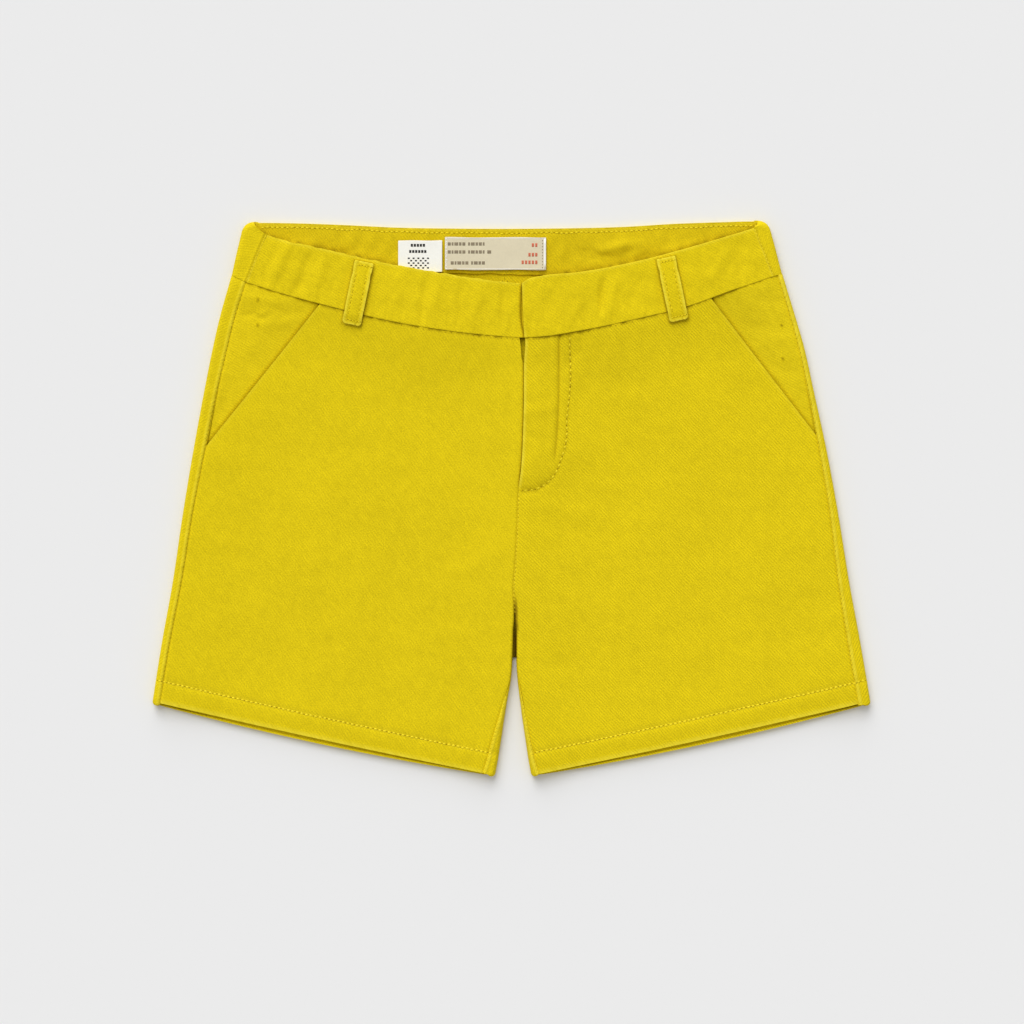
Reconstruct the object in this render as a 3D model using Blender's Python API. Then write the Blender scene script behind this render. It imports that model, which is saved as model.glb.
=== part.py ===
"""A child's chino shorts, laid flat on a surface with the front up.

Metres, +Z up. The origin lies on the surface under the middle of the shorts, with the waist
towards +Y and the wearer's right side towards -X. Every size and table below is in millimetres.

Each cloth piece is first laid out as one open sheet of points, half a layer inside its outer
face, and is then thickened into a closed wall: half a layer outwards, and as many layers
inwards as the cloth has there.
"""

from typing import NamedTuple

import bmesh
import bpy
import numpy as np

MM = 0.001

# Cloth
LAYER = 1.0  # one layer of twill
HALF = LAYER / 2
GAP = 0.3  # between neighbouring pieces
BAND_LAYERS = 2 * LAYER + GAP  # the band is made double
HEM_LAYERS = 1.7
HEM_DEPTH = 11.0
LOOP_LAYERS = 1.4
BAND_HEIGHT = 26.5
LIP_DEPTH = 1.5  # the band's outside rolls over its top edge by this much

# How the layers lie on each other: heights of their middles above the surface
BACK_LIE = HALF
FACING_LIE = BACK_LIE + LAYER + GAP
FRONT_LIE = 3.2
FRONT_RISE = 1.8  # the front stands this much higher at its folds, waist and fly
BAND_LIE = 5.7
FLY_STEP = 0.75  # left front up and right front down by this much at the fly
BAND_LIFT = 1.1  # left band above its usual height where it laps
BAND_DIP = 1.5  # right band below its usual height under the lap

# Folds
FOLD_REACH = 1.4  # half the width of the roll at a folded edge
BAND_REACH = 2.3
ROLL_STEPS = 6
BAND_CORNER = 4.0  # rounding of the band's top corners
WAIST_EDGE = {"right": 111.6, "left": 112.5}  # height of the waist seam at each folded edge
TOP_EDGE = {"right": 137.9, "left": 138.3}  # the same for the band's top
HEM_CORNER = 2.2

# Fly, in plan
FLY_FOOT = 4.0  # height where the lap has turned into a plain seam
FORK = -61.0  # height where the legs part
UNDERLAP = 12.0  # the right band reaches this far past the fly line
SHIELD_LEFT, SHIELD_RIGHT, SHIELD_FOOT = 22.0, 6.0, 14.0

# Hems, in plan
HEM_SIDE, HEM_INSIDE = -103.0, -139.1
BACK_BOW, FRONT_BOW = 2.3, 0.8  # how far each hem bows below a straight line
FRONT_SHORT = 1.3  # the front hem ends this much above the back one

POCKET_LAP = 12.0  # the facing reaches this far under the front
LOOP_WIDTH = 9.4


class Edge(NamedTuple):
    """Where a folded edge runs, and how far the back wraps over it to the seam on the front."""

    height: float
    right_x: float
    right_wrap: float
    left_x: float
    left_wrap: float


LEG_SIDES = (
    Edge(111.0, -140.3, 8.2, 136.0, 2.7),
    Edge(92.0, -145.7, 7.5, 141.8, 2.7),
    Edge(76.5, -149.3, 7.3, 146.3, 2.9),
    Edge(54.0, -153.8, 6.5, 151.3, 2.9),
    Edge(24.0, -159.3, 5.8, 157.8, 3.7),
    Edge(-6.0, -164.3, 4.9, 163.3, 4.2),
    Edge(-43.0, -169.8, 4.4, 169.3, 5.6),
    Edge(-73.0, -175.2, 4.0, 174.8, 6.4),
    Edge(-103.0, -179.9, 3.8, 179.9, 6.2),
)
LEG_INSIDES = (
    Edge(-61.0, 1.5, 2.3, 1.8, 2.3),
    Edge(-66.0, 1.1, 2.3, 2.1, 2.3),
    Edge(-72.0, 0.9, 2.3, 2.4, 2.3),
    Edge(-81.0, 0.5, 2.3, 2.3, 2.3),
    Edge(-91.0, -0.3, 2.3, 3.0, 2.3),
    Edge(-101.0, -2.1, 2.5, 4.2, 2.3),
    Edge(-111.0, -3.7, 3.2, 5.5, 2.3),
    Edge(-121.0, -5.2, 4.4, 7.0, 2.4),
    Edge(-131.0, -6.8, 5.4, 8.5, 3.0),
    Edge(-139.0, -8.3, 6.4, 10.0, 4.1),
)
BAND_SIDES = (
    Edge(138.5, -133.6, 13.4, 128.2, 7.9),
    Edge(124.3, -137.2, 10.8, 132.2, 6.2),
    Edge(110.0, -140.4, 8.4, 136.0, 4.4),
)


class Line(NamedTuple):
    """A line that runs down the middle of the shorts."""

    height: float
    x: float


FLY_LINE = (
    Line(108.0, 5.2),
    Line(87.0, 5.3),
    Line(79.5, 6.8),
    Line(68.0, 6.3),
    Line(49.0, 6.2),
    Line(34.0, 5.8),
    Line(14.0, 4.7),
    Line(3.0, 3.3),
    Line(-12.0, 2.8),
    Line(-31.0, 1.8),
    Line(-46.0, 0.8),
    Line(-61.0, 1.65),
)
BACK_SEAM = (
    Line(115.0, -3.5),
    Line(60.0, -2.0),
    Line(0.0, 0.5),
    Line(-61.0, 1.65),
)


class Band(NamedTuple):
    """The seam under a waistband and the band's top edge, as heights at a place across."""

    x: float
    seam: float
    top: float


RIGHT_BAND = (
    Band(-133.0, 108.1, 136.0),
    Band(-116.0, 102.7, 129.6),
    Band(-96.0, 97.3, 125.2),
    Band(-68.0, 90.2, 118.7),
    Band(-38.0, 84.7, 113.2),
    Band(-8.0, 81.2, 108.7),
    Band(6.0, 80.3, 107.5),
    Band(20.0, 80.3, 107.0),
)
LEFT_BAND = (
    Band(5.0, 80.2, 107.4),
    Band(8.0, 80.3, 109.4),
    Band(15.0, 80.7, 111.2),
    Band(32.0, 83.3, 112.9),
    Band(62.0, 89.5, 118.4),
    Band(89.0, 96.2, 125.5),
    Band(110.0, 103.8, 131.7),
    Band(122.0, 107.8, 135.4),
    Band(134.0, 112.0, 139.4),
)
BACK_BAND = (
    Band(-138.0, 111.4, 137.6),
    Band(-128.0, 111.2, 138.0),
    Band(-112.0, 111.9, 137.9),
    Band(-80.0, 113.6, 136.8),
    Band(-60.0, 114.2, 135.8),
    Band(-28.0, 114.4, 135.2),
    Band(17.0, 113.4, 135.2),
    Band(59.0, 112.8, 136.2),
    Band(80.0, 112.4, 137.5),
    Band(105.0, 111.8, 138.4),
    Band(121.0, 111.9, 138.8),
    Band(134.0, 112.3, 138.4),
)


class Station(NamedTuple):
    """One row across a front: its height at the middle, its place down the side, and the fly."""

    inner: float
    side: float  # 0 to 1 down the pocket mouth, 1 to 2 from there to the hem's stitching
    lap: float  # how far the right front reaches past the fly line


FRONT_STATIONS = (
    Station(80.0, 0.00, -2.9),
    Station(70.0, 0.17, -1.4),
    Station(60.0, 0.33, 1.5),
    Station(48.0, 0.50, 3.0),
    Station(36.0, 0.67, 3.0),
    Station(25.0, 0.84, 3.0),
    Station(15.0, 1.00, -GAP / 2),
    Station(FLY_FOOT, 1.09, -GAP / 2),
    Station(-12.0, 1.20, -GAP / 2),
    Station(-28.0, 1.31, -GAP / 2),
    Station(-45.0, 1.42, -GAP / 2),
    Station(FORK, 1.52, -GAP / 2),
)


class Row(NamedTuple):
    """One row across a back or a leg: its heights at the middle and at the side."""

    inner: float
    side: float


BACK_ROWS = (
    Row(114.0, 110.3),
    Row(93.0, 91.0),
    Row(72.0, 72.0),
    Row(51.0, 53.0),
    Row(30.0, 34.0),
    Row(9.0, 15.0),
    Row(-12.0, -3.0),
    Row(-30.0, -17.0),
    Row(-47.0, -28.0),
    Row(FORK - 1.5, -37.0),
)
LEG_ROWS = (
    Row(FORK - 2.2, -38.0),
    Row(-73.0, -47.0),
    Row(-84.0, -57.0),
    Row(-96.0, -67.0),
    Row(-109.0, -78.0),
)


class Crease(NamedTuple):
    """A soft ridge in the fronts, or a trough where its height is below zero."""

    x: float
    y: float
    turn: float  # degrees, from +X towards +Y
    length: float
    width: float
    height: float


CREASES = (
    Crease(-125.0, 99.0, -8.0, 26.0, 4.5, 0.4),
    Crease(-123.0, 91.5, -8.0, 28.0, 4.5, -0.5),
    Crease(-117.0, 84.0, 12.0, 24.0, 5.0, 0.35),
    Crease(131.0, 90.0, -58.0, 18.0, 4.5, -0.4),
    Crease(14.0, 46.0, 90.0, 54.0, 5.0, 0.3),
    Crease(24.0, 48.0, 88.0, 54.0, 4.0, -0.45),
    Crease(40.0, 52.0, 74.0, 62.0, 6.0, -0.4),
    Crease(50.0, 58.0, 72.0, 50.0, 6.0, 0.3),
    Crease(24.0, -5.0, -5.0, 30.0, 4.5, 0.35),
    Crease(26.0, -17.0, -12.0, 34.0, 5.0, 0.3),
    Crease(-20.0, -38.0, 28.0, 34.0, 6.0, 0.3),
    Crease(22.0, -48.0, -34.0, 34.0, 6.0, 0.3),
)


class Ripple(NamedTuple):
    """A ridge that runs from the bottom to the top of the front waistband."""

    x: float
    width: float
    height: float


RIPPLES = (
    Ripple(-108.0, 5.0, 0.40),
    Ripple(-94.0, 5.0, 0.30),
    Ripple(-35.0, 5.0, 0.35),
    Ripple(-20.0, 6.0, 0.25),
    Ripple(36.0, 6.0, 0.30),
    Ripple(54.0, 5.0, 0.40),
    Ripple(106.0, 6.0, 0.35),
)


class Strip(NamedTuple):
    """A belt loop's middle line, from its top end to its bottom end."""

    top_x: float
    top_y: float
    foot_x: float
    foot_y: float


LOOPS = {
    "right": Strip(-73.5, 118.0, -80.0, 87.0),
    "left": Strip(77.0, 120.1, 83.7, 89.0),
}


class Label(NamedTuple):
    """A label's edges on the back facing."""

    left: float
    right: float
    foot: float
    top: float


LABELS = {
    "label_size": Label(-56.7, -34.7, 113.3, 129.1),
    "label_care": Label(-33.3, 17.3, 114.4, 130.7),
}


class Finish(NamedTuple):
    """Colour (linear red, green, blue) and roughness of one kind of cloth."""

    colour: tuple
    roughness: float


LEG_TWILL = Finish((0.72, 0.56, 0.008), 0.85)
BAND_TWILL = Finish((0.75, 0.59, 0.009), 0.85)
INSIDE_TWILL = Finish((0.67, 0.51, 0.008), 0.88)
WHITE_TAPE = Finish((0.86, 0.85, 0.78), 0.80)
BEIGE_TAPE = Finish((0.69, 0.61, 0.42), 0.80)

SIDES = {"right": -1, "left": 1}  # the wearer's sides, and their signs along X


def smooth(places, values):
    """A smooth curve through points, straight on past both ends."""
    order = np.argsort(places)
    places = np.asarray(places, float)[order]
    values = np.asarray(values, float)[order]
    slopes = np.gradient(values, places)

    def curve(at):
        at = np.asarray(at, float)
        inside = np.clip(at, places[0], places[-1])
        left = np.clip(np.searchsorted(places, inside, side="right") - 1, 0, len(places) - 2)
        width = places[left + 1] - places[left]
        share = (inside - places[left]) / width
        rest = 1 - share
        end_slope = np.where(at < places[0], slopes[0], slopes[-1])
        return (
            values[left] * rest**2 * (1 + 2 * share)
            + values[left + 1] * share**2 * (1 + 2 * rest)
            + slopes[left] * width * share * rest**2
            - slopes[left + 1] * width * rest * share**2
            + end_slope * (at - inside)
        )

    return curve


def table_curve(table, place, value):
    """The smooth curve of one named column of a table against another."""
    places = [getattr(row, place) for row in table]
    values = [getattr(row, value) for row in table]
    return smooth(places, values)


fly_x = table_curve(FLY_LINE, "height", "x")
back_seam_x = table_curve(BACK_SEAM, "height", "x")
FRONT_BANDS = {"right": RIGHT_BAND, "left": LEFT_BAND}
waist_seam = {side: table_curve(band, "x", "seam") for side, band in FRONT_BANDS.items()}
band_top = {side: table_curve(band, "x", "top") for side, band in FRONT_BANDS.items()}
back_band_seam = table_curve(BACK_BAND, "x", "seam")
back_band_top = table_curve(BACK_BAND, "x", "top")


class Fold:
    """A folded edge in plan, with the way inwards from it and the width of the wrap."""

    def __init__(self, table, side, inwards):
        self.x = table_curve(table, "height", side + "_x")
        self.wrap = table_curve(table, "height", side + "_wrap")
        self.inwards = inwards

    def frame(self, height):
        """The edge's point at a height, and unit steps inwards and down along it."""
        slope = (self.x(height + 1) - self.x(height - 1)) / 2
        length = np.hypot(1, slope)
        edge = np.array([self.x(height), height])
        inward = self.inwards * np.array([1, -slope]) / length
        down = np.array([-slope, -1]) / length
        return edge, inward, down

    def seam_point(self, height, past=0.0):
        """The point of the side seam level with a height on the edge."""
        edge, inward, _ = self.frame(height)
        return edge + inward * (self.wrap(height) + past)

    def meeting(self, curve, off):
        """The height on the edge whose seam point lies on a curve across the front."""
        height = float(curve(self.x(110.0)))
        for _ in range(12):
            x, y = self.seam_point(height)
            height += float(curve(x)) + off - y
        return height


side_fold = {side: Fold(LEG_SIDES, side, -sign) for side, sign in SIDES.items()}
inner_fold = {side: Fold(LEG_INSIDES, side, sign) for side, sign in SIDES.items()}
band_fold = {side: Fold(BAND_SIDES, side, -sign) for side, sign in SIDES.items()}


def ease(share):
    """0 to 1 with level ends."""
    share = np.clip(share, 0, 1)
    return share * share * (3 - 2 * share)


def bump(distance, reach):
    """1 on a line, easing to 0 at a reach from it."""
    return 1 - ease(np.abs(distance) / reach)


def crease_height(x, y):
    """All the soft creases of the fronts at a place."""
    total = 0.0
    for crease in CREASES:
        turn = np.radians(crease.turn)
        along = (x - crease.x) * np.cos(turn) + (y - crease.y) * np.sin(turn)
        across = (y - crease.y) * np.cos(turn) - (x - crease.x) * np.sin(turn)
        shape = np.exp(-((across / crease.width) ** 2) - (2 * along / crease.length) ** 4)
        total = total + crease.height * shape
    return total


def middle_x(side, y):
    """The inner edge of one leg's front: the fly line, then the leg's inside."""
    return np.where(y > FORK, fly_x(np.maximum(y, FORK)), inner_fold[side].x(np.minimum(y, FORK)))


def hem_height(x):
    """The straight line that the hems follow."""
    inside, outside = 10.0, 178.0
    share = (np.abs(x) - inside) / (outside - inside)
    return HEM_INSIDE + (HEM_SIDE - HEM_INSIDE) * share


def front_lie(side, x, y):
    """Height of a front's middle above the surface, which the wraps beside it share."""
    waist = bump(np.maximum(waist_seam[side](x) - y, 0), 34.0)
    outer = bump(x - side_fold[side].x(y), 40.0)
    fly_reach = 18.0 * ease((y - FLY_FOOT) / 20.0) if side == "left" else 0.0
    middle = bump(x - middle_x(side, y), 30.0 + fly_reach)
    hem = 0.45 * bump(y - hem_height(x), 22.0)
    rise = (waist**4 + outer**4 + middle**4 + hem**4) ** 0.25
    from_fly = np.maximum(np.abs(x - fly_x(np.maximum(y, FORK))) - 5.0, 0)
    step = FLY_STEP * bump(from_fly, 14.0) * ease((y - FLY_FOOT) / 8.0)
    lie = FRONT_LIE + FRONT_RISE * np.minimum(rise, 1.1) + SIDES[side] * step
    return lie + crease_height(x, y)


def band_lie(side, x, y):
    """Height of a front band's outer layer above the surface."""
    ripples = sum(r.height * np.exp(-(((x - r.x) / r.width) ** 2)) for r in RIPPLES)
    if side == "right":
        fly = -BAND_DIP * bump(np.maximum(fly_x(y) - 3.0 - x, 0), 26.0)
    else:
        fly = BAND_LIFT * bump(np.maximum(x - fly_x(y) - UNDERLAP - 2.0, 0), 26.0)
    return BAND_LIE + ripples + fly


def rounded(distance, radius):
    """How far a rounded corner falls back at a distance from its side."""
    left = np.clip(radius - distance, 0, radius)
    return radius - np.sqrt(radius**2 - left**2)


def roll(fold, height, low, high, end_height, inset=HALF, reach=FOLD_REACH, strips=1, corner=0.0):
    """Points from the underside, round a fold and on to the seam, with their heights.

    low is the height of the underside, high a function of x and y for the front, and end_height
    the place of the seam point. corner rounds off the edge where it ends here, above zero at
    its top and below zero at its foot.
    """
    edge, inward, down = fold.frame(height)
    end = fold.wrap(height) - GAP / 2
    turns = np.linspace(0, np.pi, ROLL_STEPS + 1)
    past = np.linspace(inset + reach, end, strips + 1)[1:]
    distance = np.concatenate([inset + reach * (1 - np.sin(turns)), past])
    share = np.concatenate([(1 - np.cos(turns)) / 2, np.ones(strips)])
    lag = fold.seam_point(end_height) - fold.seam_point(height)
    cut_back = np.sign(corner) * rounded(distance - inset + HALF, abs(corner))
    plan = edge + np.outer(distance, inward) + np.outer(cut_back, down)
    plan += np.outer(share * distance / end, lag)
    tall = low + share * (high(plan[:, 0], plan[:, 1]) - low)
    return np.column_stack([plan, tall])


def coons(top, bottom, first, last):
    """A grid of plan points between four boundary lines, with rows from top to bottom."""
    across = lengths(top, bottom)[None, :, None]
    down = lengths(first, last)[:, None, None]
    straight = (
        (1 - across) * (1 - down) * top[0]
        + across * (1 - down) * top[-1]
        + (1 - across) * down * bottom[0]
        + across * down * bottom[-1]
    )
    return (
        (1 - down) * top[None]
        + down * bottom[None]
        + (1 - across) * first[:, None]
        + across * last[:, None]
        - straight
    )


def lengths(one, other):
    """How far along each point of two matching lines lies, as shares of their length."""
    steps = np.linalg.norm(np.diff(one, axis=0), axis=1) + np.linalg.norm(np.diff(other, axis=0), axis=1)
    return np.concatenate([[0], np.cumsum(steps)]) / steps.sum()


def spread(count, edges=0.4):
    """Shares from 0 to 1, closer together near both ends."""
    even = np.linspace(0, 1, count)
    return (1 - edges) * even + edges * (1 - np.cos(np.pi * even)) / 2


class Sheet:
    """Cloth while it is laid out: rows of points, each with the depth of cloth behind it."""

    def __init__(self):
        self.mesh = bmesh.new()
        self.depth = self.mesh.verts.layers.float.new("depth")

    def row(self, points, depth):
        """Add one row of points that share a depth."""
        added = []
        for point in points:
            vert = self.mesh.verts.new(point)
            vert[self.depth] = depth
            added.append(vert)
        return added

    def join(self, upper, lower):
        """Fill between two rows of the same length."""
        for i in range(len(upper) - 1):
            self.mesh.faces.new([upper[i], lower[i], lower[i + 1], upper[i + 1]])

    def rows(self, grid, depths):
        """Add a whole grid of points, row by row."""
        before = None
        for points, depth in zip(grid, depths):
            row = self.row(points, depth)
            if before:
                self.join(before, row)
            before = row

    def thicken(self):
        """Close the sheet into a wall. Its outer face looks up at the last point laid out."""
        mesh = self.mesh
        mesh.normal_update()
        outer = list(mesh.verts)
        if outer[-1].normal.z < 0:
            bmesh.ops.reverse_faces(mesh, faces=mesh.faces[:])
            mesh.normal_update()
        faces = list(mesh.faces)
        rims = [loop for edge in mesh.edges if edge.is_boundary for loop in edge.link_loops]
        rims = [(loop.vert, loop.link_loop_next.vert) for loop in rims]
        away = {vert: vert.normal * vert.calc_shell_factor() for vert in outer}
        inner = {vert: mesh.verts.new(vert.co - away[vert] * vert[self.depth]) for vert in outer}
        for face in faces:
            mesh.faces.new([inner[vert] for vert in reversed(face.verts)])
        for start, end in rims:
            mesh.faces.new([end, start, inner[start], inner[end]])
        for vert in outer:
            vert.co += away[vert] * HALF
        for vert in mesh.verts:
            vert.co.z = max(vert.co.z, 0)

    def make(self, name, finish):
        """Thicken the sheet and put it in the scene as a named object."""
        self.thicken()
        bmesh.ops.scale(self.mesh, vec=(MM, MM, MM), verts=self.mesh.verts)
        data = bpy.data.meshes.new(name)
        self.mesh.to_mesh(data)
        self.mesh.free()
        data.shade_smooth()
        data.set_sharp_from_angle(angle=np.radians(40))
        data.materials.append(cloth_material(name, finish))
        bpy.context.scene.collection.objects.link(bpy.data.objects.new(name, data))


def cloth_material(name, finish):
    """The plain material of one piece."""
    material = bpy.data.materials.new(name + "_cloth")
    material.use_nodes = True
    shader = material.node_tree.nodes["Principled BSDF"]
    shader.inputs["Base Color"].default_value = (*finish.colour, 1)
    shader.inputs["Roughness"].default_value = finish.roughness
    shader.inputs["Metallic"].default_value = 0
    return material


def stand(plan, heights):
    """Plan points and their heights as points in space."""
    return np.concatenate([plan, np.asarray(heights)[..., None]], axis=-1)


def hem_offsets():
    """Heights above the hem's edge of the rows that make the hem, from the top down."""
    return (HEM_DEPTH + 0.6, HEM_DEPTH, HEM_DEPTH / 2, 0.0)


def hem_depths():
    """The cloth behind each of those rows."""
    return [HALF] + [HEM_LAYERS - HALF] * 3


def bowed(start, end, shares, bow):
    """A line from start to end that bows down in its middle."""
    line = start + np.outer(shares, end - start)
    line[:, 1] -= bow * 4 * shares * (1 - shares)
    return line


def pocket_mouth(side):
    """The two ends of the slanted pocket mouth, top first."""
    top_x = {"right": -95.8, "left": 99.8}[side]
    corner = {"right": 26.8, "left": 31.8}[side]
    top = np.array([top_x, waist_seam[side](top_x) - GAP / 2])
    return top, side_fold[side].seam_point(corner, GAP / 2), corner


def front_panel(side):
    """One front: leg and hip, cut away along the pocket mouth, with its hem."""
    sign = SIDES[side]
    mouth_top, mouth_foot, corner = pocket_mouth(side)
    stitching = HEM_SIDE + FRONT_SHORT + HEM_DEPTH + 0.6
    outer, inner = [], []
    for station in FRONT_STATIONS:
        if station.side <= 1:
            outer.append(mouth_top + (mouth_foot - mouth_top) * station.side)
        else:
            height = corner + (stitching - corner) * (station.side - 1)
            outer.append(side_fold[side].seam_point(height, GAP / 2))
        lap = station.lap if side == "right" else GAP / 2
        inner.append(np.array([fly_x(station.inner) + lap, station.inner]))
    last_side = corner + (stitching - corner) * (FRONT_STATIONS[-1].side - 1)
    for row in LEG_ROWS:
        height = min(row.side, last_side - 1.5)
        outer.append(side_fold[side].seam_point(height, GAP / 2))
        inner.append(inner_fold[side].seam_point(row.inner + GAP * 2, GAP / 2))
    for offset in hem_offsets():
        outer.append(side_fold[side].seam_point(HEM_SIDE + FRONT_SHORT + offset, GAP / 2))
        inner.append(inner_fold[side].seam_point(HEM_INSIDE + FRONT_SHORT / 2 + offset, GAP / 2))
    outer, inner = np.array(outer), np.array(inner)
    shares = spread(22)
    top_x = mouth_top[0] + (inner[0][0] - mouth_top[0]) * shares
    top = np.column_stack([top_x, waist_seam[side](top_x) - GAP / 2])
    outer[0], inner[0] = top[0], top[-1]
    hem = bowed(outer[-1], inner[-1], shares, FRONT_BOW)
    plan = coons(top, hem, outer, inner)
    grid = stand(plan, front_lie(side, plan[..., 0], plan[..., 1]))
    depths = [HALF] * (len(grid) - len(hem_depths())) + hem_depths()
    sheet = Sheet()
    sheet.rows(grid, depths)
    sheet.make("front_" + side, LEG_TWILL)


def pocket_facing(side):
    """The hip piece inside a pocket: flush with the side seam, and under the front at the mouth."""
    sign = SIDES[side]
    mouth_top, mouth_foot, corner = pocket_mouth(side)
    along = (mouth_foot - mouth_top) / np.linalg.norm(mouth_foot - mouth_top)
    under = np.array([-sign * abs(along[1]), -abs(along[0])])
    lead = 8.0
    fold = side_fold[side]
    heights = np.linspace(fold.meeting(waist_seam[side], -GAP / 2), corner - lead, 17)
    outer = np.array([fold.seam_point(height, GAP) for height in heights])
    inner_top_x = mouth_top[0] - sign * POCKET_LAP
    inner_top = np.array([inner_top_x, waist_seam[side](inner_top_x) - GAP / 2])
    inner_foot = mouth_foot + under * POCKET_LAP
    inner = inner_top + np.outer(np.linspace(0, 1, 17), inner_foot - inner_top)
    top_x = np.linspace(outer[0][0], inner_top_x, 8)
    top = np.column_stack([top_x, waist_seam[side](top_x) - GAP / 2])
    outer[0] = top[0]
    foot = outer[-1] + np.outer(np.linspace(0, 1, 8), inner[-1] - outer[-1])
    plan = coons(top, foot, outer, inner)
    past_mouth = (plan - mouth_top) @ -under
    sunk = (LAYER + GAP * 1.4) * (1 - ease((past_mouth - 5.0) / 9.0))
    grid = stand(plan, front_lie(side, plan[..., 0], plan[..., 1]) - sunk)
    sheet = Sheet()
    sheet.rows(grid, [HALF] * len(grid))
    sheet.make("pocket_facing_" + side, LEG_TWILL)


def back_panel(side):
    """One back: flat under the front, rolling round the side and the leg's inside."""

    def high(x, y):
        return front_lie(side, x, y)

    def leg_roll(fold, height, lift=0.0, corner=0.0):
        return roll(fold, height, BACK_LIE, high, height + lift, corner=corner)

    rows = []
    waist_end = side_fold[side].meeting(waist_seam[side], -GAP / 2)
    for row in BACK_ROWS:
        centre = np.array([[back_seam_x(row.inner) + SIDES[side] * GAP / 2, row.inner, BACK_LIE]])
        if rows:
            outer = leg_roll(side_fold[side], row.side)
        else:
            waist_edge = WAIST_EDGE[side] - 1.5 * GAP
            outer = leg_roll(side_fold[side], waist_edge, waist_end - waist_edge)
        rows.append((centre, outer))
    for row in LEG_ROWS:
        inner = leg_roll(inner_fold[side], row.inner)
        rows.append((inner[::-1], leg_roll(side_fold[side], row.side)))
    for offset in hem_offsets():
        corner = -HEM_CORNER if offset == 0 else 0.0
        lift = FRONT_SHORT / 2
        inner = leg_roll(inner_fold[side], HEM_INSIDE + offset, lift, corner)
        rows.append((inner[::-1], leg_roll(side_fold[side], HEM_SIDE + offset, lift, corner)))
    shares = np.linspace(0, 1, 8)
    first = np.array([row[0][-1][:2] for row in rows])
    last = np.array([row[1][0][:2] for row in rows])
    top_x = first[0][0] + (last[0][0] - first[0][0]) * shares
    top = np.column_stack([top_x, back_band_seam(top_x) - GAP / 2])
    top[-1] = last[0]
    first[0] = top[0]
    rows[0][0][0, :2] = top[0]
    hem = bowed(first[-1], last[-1], shares, BACK_BOW)
    plan = coons(top, hem, first, last)
    flat = stand(plan, np.full(plan.shape[:2], BACK_LIE))
    depths = [HALF] * (len(rows) - len(hem_depths())) + hem_depths()
    sheet = Sheet()
    before = None
    for (inner, outer), middle, depth in zip(rows, flat, depths):
        row = sheet.row(np.concatenate([inner, middle[1:-1], outer]), depth)
        if before:
            shared = min(len(before), len(row))
            sheet.join(before[-shared:], row[-shared:])
        before = row
    sheet.make("back_" + side, LEG_TWILL)


def front_band(side):
    """One half of the front waistband, from the side seam to the fly."""
    sign = SIDES[side]
    fold = band_fold[side]
    shares = np.linspace(0, 1, 6)
    foot_end = fold.meeting(waist_seam[side], GAP / 2)
    top_end = fold.meeting(band_top[side], 0.0)
    first = [fold.seam_point(foot_end + (top_end - foot_end) * share, GAP / 2) for share in shares]
    first = np.array(first)
    reach = UNDERLAP if side == "right" else 0.0
    fly_top = np.array([fly_x(108.0) + reach, 0])
    fly_foot = np.array([fly_x(82.0) + reach, 0])
    places = spread(30, 0.15)
    top_x = first[-1][0] + (fly_top[0] - first[-1][0]) * places
    foot_x = first[0][0] + (fly_foot[0] - first[0][0]) * places
    top = np.column_stack([top_x, band_top[side](top_x)])
    foot = np.column_stack([foot_x, waist_seam[side](foot_x) + GAP / 2])
    first[0], first[-1] = foot[0], top[0]
    last = foot[-1] + np.outer(shares, top[-1] - foot[-1])
    plan = coons(foot, top, first, last)
    grid = stand(plan, band_lie(side, plan[..., 0], plan[..., 1]))
    sheet = Sheet()
    sheet.rows(grid, [BAND_LAYERS - HALF] * len(grid))
    sheet.make("waistband_front_" + side, BAND_TWILL)


def ring_rows(places, low, high, inset, foot_drop=0.0, top_inset=0.0):
    """Rows of points round the back band, from one side seam to the other."""
    rows = []
    for share in places:
        ends = {}
        for side, fold in band_fold.items():
            foot, top = WAIST_EDGE[side], TOP_EDGE[side] - top_inset
            foot_end = fold.meeting(waist_seam[side], GAP / 2)
            top_end = fold.meeting(band_top[side], -top_inset)
            ends[side] = roll(
                fold,
                foot + (top - foot) * share,
                low,
                high,
                foot_end + (top_end - foot_end) * share,
                inset,
                BAND_REACH + HALF - inset,
                strips=2,
                corner=BAND_CORNER * ease((share - 0.6) / 0.3),
            )
        rows.append(ends)
    shares = np.linspace(0, 1, 19)
    first = np.array([row["right"][0][:2] for row in rows])
    last = np.array([row["left"][0][:2] for row in rows])
    foot_x = first[0][0] + (last[0][0] - first[0][0]) * shares
    top_x = first[-1][0] + (last[-1][0] - first[-1][0]) * shares
    hang = foot_drop * ease(40 * shares * (1 - shares))
    foot = np.column_stack([foot_x, back_band_seam(foot_x) + GAP / 2 - hang])
    top = np.column_stack([top_x, back_band_top(top_x) - top_inset])
    foot[0], foot[-1], top[0], top[-1] = first[0], last[0], first[-1], last[-1]
    plan = coons(foot, top, first, last)
    flat = stand(plan, np.full(plan.shape[:2], low))
    grid = []
    for ends, middle in zip(rows, flat):
        grid.append(np.concatenate([ends["right"][::-1], middle[1:-1], ends["left"]]))
    return grid


def back_band():
    """The outside of the back waistband, rolled over at its top edge."""
    lip = 1 - LIP_DEPTH / BAND_HEIGHT
    step = 0.3 / BAND_HEIGHT
    places = (0.0, 0.33, 0.66, lip - step, lip, 1.0)
    depths = [HALF] * 4 + [BAND_LAYERS - HALF] * 2

    def high(x, y):
        return np.full(np.shape(x), BAND_LIE)

    sheet = Sheet()
    sheet.rows(ring_rows(places, BACK_LIE, high, HALF), depths)
    sheet.make("waistband_back", BAND_TWILL)


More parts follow.
